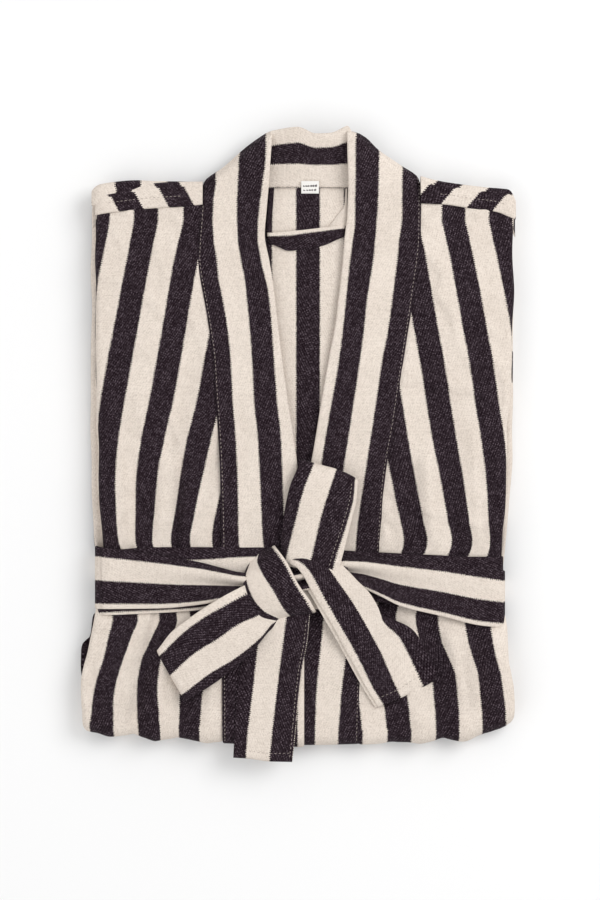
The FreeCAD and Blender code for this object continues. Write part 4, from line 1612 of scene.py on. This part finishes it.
@dataclass
class NeckFittings:
    """The hanging loop and the label."""

    shop: Workshop

    def hanger(
        self, name: str, marks: tuple[float, ...], rows: tuple[Row, ...], arms: tuple[bpy.types.Object,
                                                                                      ...] = ()
    ) -> bpy.types.Object:
        """Builds one part of the hanging loop, which is one tape folded at its two corners.

        Args:
            name: the part's name.
            marks: the stripe edges across it.
            rows: its stations.
            arms: the tape's two arms, if this part is the bar between them.

        Returns:
            The finished part.
        """
        return Strap(
            name, self.shop, marks, rows, body="hanger_loop", hinge=(4.5, 214.7, 19.8), heading=-90.0,
            bend=12.0, thickness=1.0, nodes=("hanger_loop",), flat=(0.0165, 0.071), seed=95,
            slot="robe_cloth",
            crumple=0.15, rests_on=("back_panel",), part_of=not arms, with_pieces=arms,
        ).build()

    def build(self) -> None:
        """Builds both."""
        left = self.hanger(
            "hanger_arm_left", (1, 14),
            (
                ((-21.5, 214.5, 18.6), (-25.5, 214.5, 18.6)),
                ((-22.5, 200, 18.9), (-26.5, 199, 18.9)),
                ((-23.5, 186, 19.3), (-27.5, 184, 19.2)),
                ((-23.5, 176, 19.2), (-27, 174, 19.1)),
            ),
        )
        right = self.hanger(
            "hanger_arm_right", (22, 30, 38),
            (
                ((38, 214, 18.6), (39, 214, 18.8), (39.5, 214, 18.8)),
                ((37.5, 201.5, 18.9), (38.5, 202.5, 19.6), (39.5, 202.5, 19.4)),
                ((31, 191.5, 19.1), (35, 192.5, 20.3), (39.5, 193.5, 19.6)),
                ((22.5, 180, 19.2), (30, 181, 20.1), (38.5, 182.5, 19.4)),
            ),
        )
        self.hanger(
            "hanger_bar", (-4, 0, 15),
            (
                ((-27.5, 177, 19.3), (-27.5, 174, 19.2), (-26.5, 169, 18.8)),
                ((-23.5, 177, 20.6), (-23.5, 174, 20.6), (-19, 165.5, 18.9)),
                ((-10, 178, 21.2), (-10, 174.5, 21.2), (-9, 162, 18.9)),
                ((5, 179.5, 21.4), (5, 176.5, 21.4), (5, 163.5, 18.9)),
                ((21, 181.5, 21.2), (21, 178.5, 21.2), (20, 166.5, 18.9)),
                ((31.5, 183, 20.8), (31.5, 180, 20.7), (31.5, 171.5, 18.9)),
                ((38, 184, 19.6), (38, 180.5, 19.5), (36.5, 173.5, 18.9)),
            ),
            (left, right),
        )
        t = np.linspace(0, 1, 14)[:, None]
        share = across(16, 15)[None, :]
        x = 1.0 + 14.8 * share + 0 * t
        y = 220.0 - 10.4 * t + 0 * x
        z = 21.2 - 1.5 * t + 0.35 * np.sin(math.pi * share) + 0 * x
        label = slab("neck_label_cloth", np.stack([x, y, z], -1), np.stack([x, y], -1), 0.5)
        start, end = Vector((9, 220.5, 18.6)) * MM, Vector((9, 216.5, 18.6)) * MM
        self.shop.joins["neck_label"] = (start, end)
        self.shop.dress(label, self.shop.finishes.label, "label_cloth", ("neck_label",))
        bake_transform(label)
        self.shop.sheet(label, "draped", ("back_panel",), (0.0148, 0.0105))
        self.dashes()

    def dashes(self) -> None:
        """Builds two rows of plain dashes, which stand for the print on the label."""
        verts, quads = [], []
        lines = ((215.2, (2.6, 4.6, 6.5, 8.6, 10.6, 12.4)), (211.9, (2.8, 5.4, 7.4, 9.5, 11.7)))
        for row, (y, starts) in enumerate(lines):
            for k, x in enumerate(starts):
                wide, tall = 1.35 + 0.35 * ((k + row) % 2), 1.9
                z = 21.2 - 1.5 * (219.6 - y) / 9.6 + 0.3 + 0.35 * math.sin(math.pi * (x - 1) / 14.8)
                first = len(verts)
                for dz in (0.0, 0.14):
                    outline = ((x, y), (x + wide, y), (x + wide, y + tall), (x, y + tall))
                    verts += [(a, b, z + dz) for a, b in outline]
                box = [(0, 3, 2, 1), (4, 5, 6, 7), (0, 1, 5, 4), (1, 2, 6, 5), (2, 3, 7, 6), (3, 0, 4, 7)]
                quads += [[first + c for c in face] for face in box]
        places = np.array(verts)
        piece = mesh_from("neck_label_dashes", places * MM, np.array(quads), places[:, :2])
        self.shop.dress(piece, self.shop.finishes.ink, "label_cloth")
        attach(piece, "neck_label")


# ---------------------------------------------------------------- stitches


@dataclass
class Stitching:
    """Every line of stitches, laid along the seams that the other pieces noted."""

    shop: Workshop
    pitch: float = 3.4
    length: float = 2.1
    radius: float = 0.22

    def group(self) -> bpy.types.NodeTree:
        """The geometry nodes that put one short thread at every step of each line.

        Returns:
            The node group, with inputs named Pitch and Material.
        """
        tree = bpy.data.node_groups.new("stitches", "GeometryNodeTree")
        face = tree.interface
        face.new_socket(name="Geometry", in_out="INPUT", socket_type="NodeSocketGeometry")
        face.new_socket(name="Pitch", in_out="INPUT", socket_type="NodeSocketFloat")
        face.new_socket(name="Material", in_out="INPUT", socket_type="NodeSocketMaterial")
        face.new_socket(name="Geometry", in_out="OUTPUT", socket_type="NodeSocketGeometry")
        made = {}
        for key, kind in {
            "in": "NodeGroupInput", "out": "NodeGroupOutput", "curve": "GeometryNodeMeshToCurve",
            "even": "GeometryNodeResampleCurve", "copy": "GeometryNodeInstanceOnPoints",
            "along": "GeometryNodeInputTangent", "turn": "FunctionNodeAlignRotationToVector",
            "real": "GeometryNodeRealizeInstances", "finish": "GeometryNodeSetMaterial",
            "thread": "GeometryNodeMeshIcoSphere", "shape": "GeometryNodeTransform",
            "noise": "FunctionNodeRandomValue",
        }.items():
            made[key] = tree.nodes.new(kind)
        made["even"].mode = "LENGTH"
        made["turn"].axis = "X"
        made["thread"].inputs["Radius"].default_value = 1.0
        made["thread"].inputs["Subdivisions"].default_value = 2
        made["shape"].inputs["Scale"].default_value = (
            self.length / 2 * MM, self.radius * MM, self.radius * 0.8 * MM,
        )
        made["noise"].data_type = "FLOAT_VECTOR"
        made["noise"].inputs["Min"].default_value = (0.82, 0.85, 0.85)
        made["noise"].inputs["Max"].default_value = (1.12, 1.1, 1.1)
        made["noise"].inputs["Seed"].default_value = 5
        link = tree.links.new
        link(made["in"].outputs["Geometry"], made["curve"].inputs["Mesh"])
        link(made["curve"].outputs["Curve"], made["even"].inputs["Curve"])
        link(made["in"].outputs["Pitch"], made["even"].inputs["Length"])
        link(made["even"].outputs["Curve"], made["copy"].inputs["Points"])
        link(made["thread"].outputs["Mesh"], made["shape"].inputs["Geometry"])
        link(made["shape"].outputs["Geometry"], made["copy"].inputs["Instance"])
        link(made["along"].outputs["Tangent"], made["turn"].inputs["Vector"])
        link(made["turn"].outputs["Rotation"], made["copy"].inputs["Rotation"])
        link(made["noise"].outputs["Value"], made["copy"].inputs["Scale"])
        link(made["copy"].outputs["Instances"], made["real"].inputs["Geometry"])
        link(made["real"].outputs["Geometry"], made["finish"].inputs["Geometry"])
        link(made["in"].outputs["Material"], made["finish"].inputs["Material"])
        link(made["finish"].outputs["Geometry"], made["out"].inputs["Geometry"])
        return tree

    def build(self) -> None:
        """Builds one mesh of stitches for each body that has any."""
        tree = self.group()
        sockets = {item.name: item.identifier for item in tree.interface.items_tree if item.in_out == "INPUT"}
        for body, lines in self.shop.seams.items():
            verts = np.concatenate(lines) * MM
            starts = np.cumsum([0] + [len(line) for line in lines])
            edges = [(i, i + 1) for a, b in zip(starts[:-1], starts[1:]) for i in range(a, b - 1)]
            mesh = bpy.data.meshes.new("stitches")
            mesh.from_pydata(verts.tolist(), edges, [])
            thing = bpy.data.objects.new(f"stitches_{body}", mesh)
            bpy.context.scene.collection.objects.link(thing)
            modifier = thing.modifiers.new("stitches", "NODES")
            modifier.node_group = tree
            modifier[sockets["Pitch"]] = self.pitch * MM
            modifier[sockets["Material"]] = self.shop.finishes.thread
            graph = bpy.context.evaluated_depsgraph_get()
            final = bpy.data.meshes.new_from_object(thing.evaluated_get(graph))
            thing.modifiers.clear()
            thing.data = final
            for polygon in final.polygons:
                polygon.use_smooth = True
            slot = "belt_cloth" if body.startswith("b") else "robe_cloth"
            self.shop.dress(thing, self.shop.finishes.thread, slot)
            if body in self.shop.joins:
                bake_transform(thing)
            else:
                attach(thing, body)


# ---------------------------------------------------------------- the studio


@dataclass
class Studio:
    """A pale floor, soft light and a camera that looks straight down."""

    field: float = 0.75
    height: float = 2.0
    level: float = 0.021

    def build(self) -> None:
        """Builds the floor, the lights and the camera."""
        n = Nodes("pale_floor")
        shader = n.add("BsdfPrincipled", {"Base Color": (0.87, 0.87, 0.87, 1), "Roughness": 0.9})
        n.add("OutputMaterial", {0: shader.outputs[0]})
        mesh = bpy.data.meshes.new("floor")
        corners = [(x * FLOOR_REACH, y * FLOOR_REACH, -FLOOR_DROP) for x, y in ((-1, -1), (1, -1), (1, 1),
                                                                                (-1, 1))]
        mesh.from_pydata(corners, [], [(0, 1, 2, 3)])
        mesh.materials.append(n.material)
        floor = bpy.data.objects.new("floor", mesh)
        bpy.context.scene.collection.objects.link(floor)
        self.lamp("key", (1.2, 0.75, 1.6), 1.2, 22.5)
        self.lamp("fill", (-1.5, -0.6, 1.7), 2.4, 12.0)
        world = bpy.data.worlds.new("studio")
        world.use_nodes = True
        world.node_tree.nodes["Background"].inputs[0].default_value = (1, 1, 1, 1)
        world.node_tree.nodes["Background"].inputs[1].default_value = 0.73
        bpy.context.scene.world = world
        bpy.context.scene.view_settings.view_transform = "Standard"
        data = bpy.data.cameras.new("camera")
        data.lens = self.height * SENSOR_WIDTH / self.field
        data.clip_start, data.clip_end = 0.05, 20
        camera = bpy.data.objects.new("camera", data)
        camera.location = (0.0, -0.0042, self.height + self.level)
        bpy.context.scene.collection.objects.link(camera)
        bpy.context.scene.camera = camera

    def lamp(self, name: str, place: tuple[float, float, float], size: float, power: float) -> None:
        """Adds a large soft lamp aimed at the packet.

        Args:
            name: the lamp's name.
            place: where it stands, in metres.
            size: its width, in metres.
            power: its power, in watts.
        """
        data = bpy.data.lights.new(name, "AREA")
        data.size, data.energy = size, power
        lamp = bpy.data.objects.new(name, data)
        lamp.location = place
        lamp.rotation_euler = (-Vector(place)).to_track_quat("-Z", "Y").to_euler()
        bpy.context.scene.collection.objects.link(lamp)


def main() -> None:
    """Loads the frame, builds every piece in order and notes the sizes."""
    logging.basicConfig(level=logging.INFO, format="%(message)s")
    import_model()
    shop = Workshop(Finishes.build())
    BackPanel(shop).build()
    for side in Side:
        Sleeve(side, shop).build()
        FrontPanel(side, shop).build()
    CollarBand(shop).build()
    Belt(shop).build()
    NeckFittings(shop).build()
    Stitching(shop).build()
    Studio().build()
    LOG.info("%d pieces", len(shop.made))


if __name__ == "__main__":
    main()
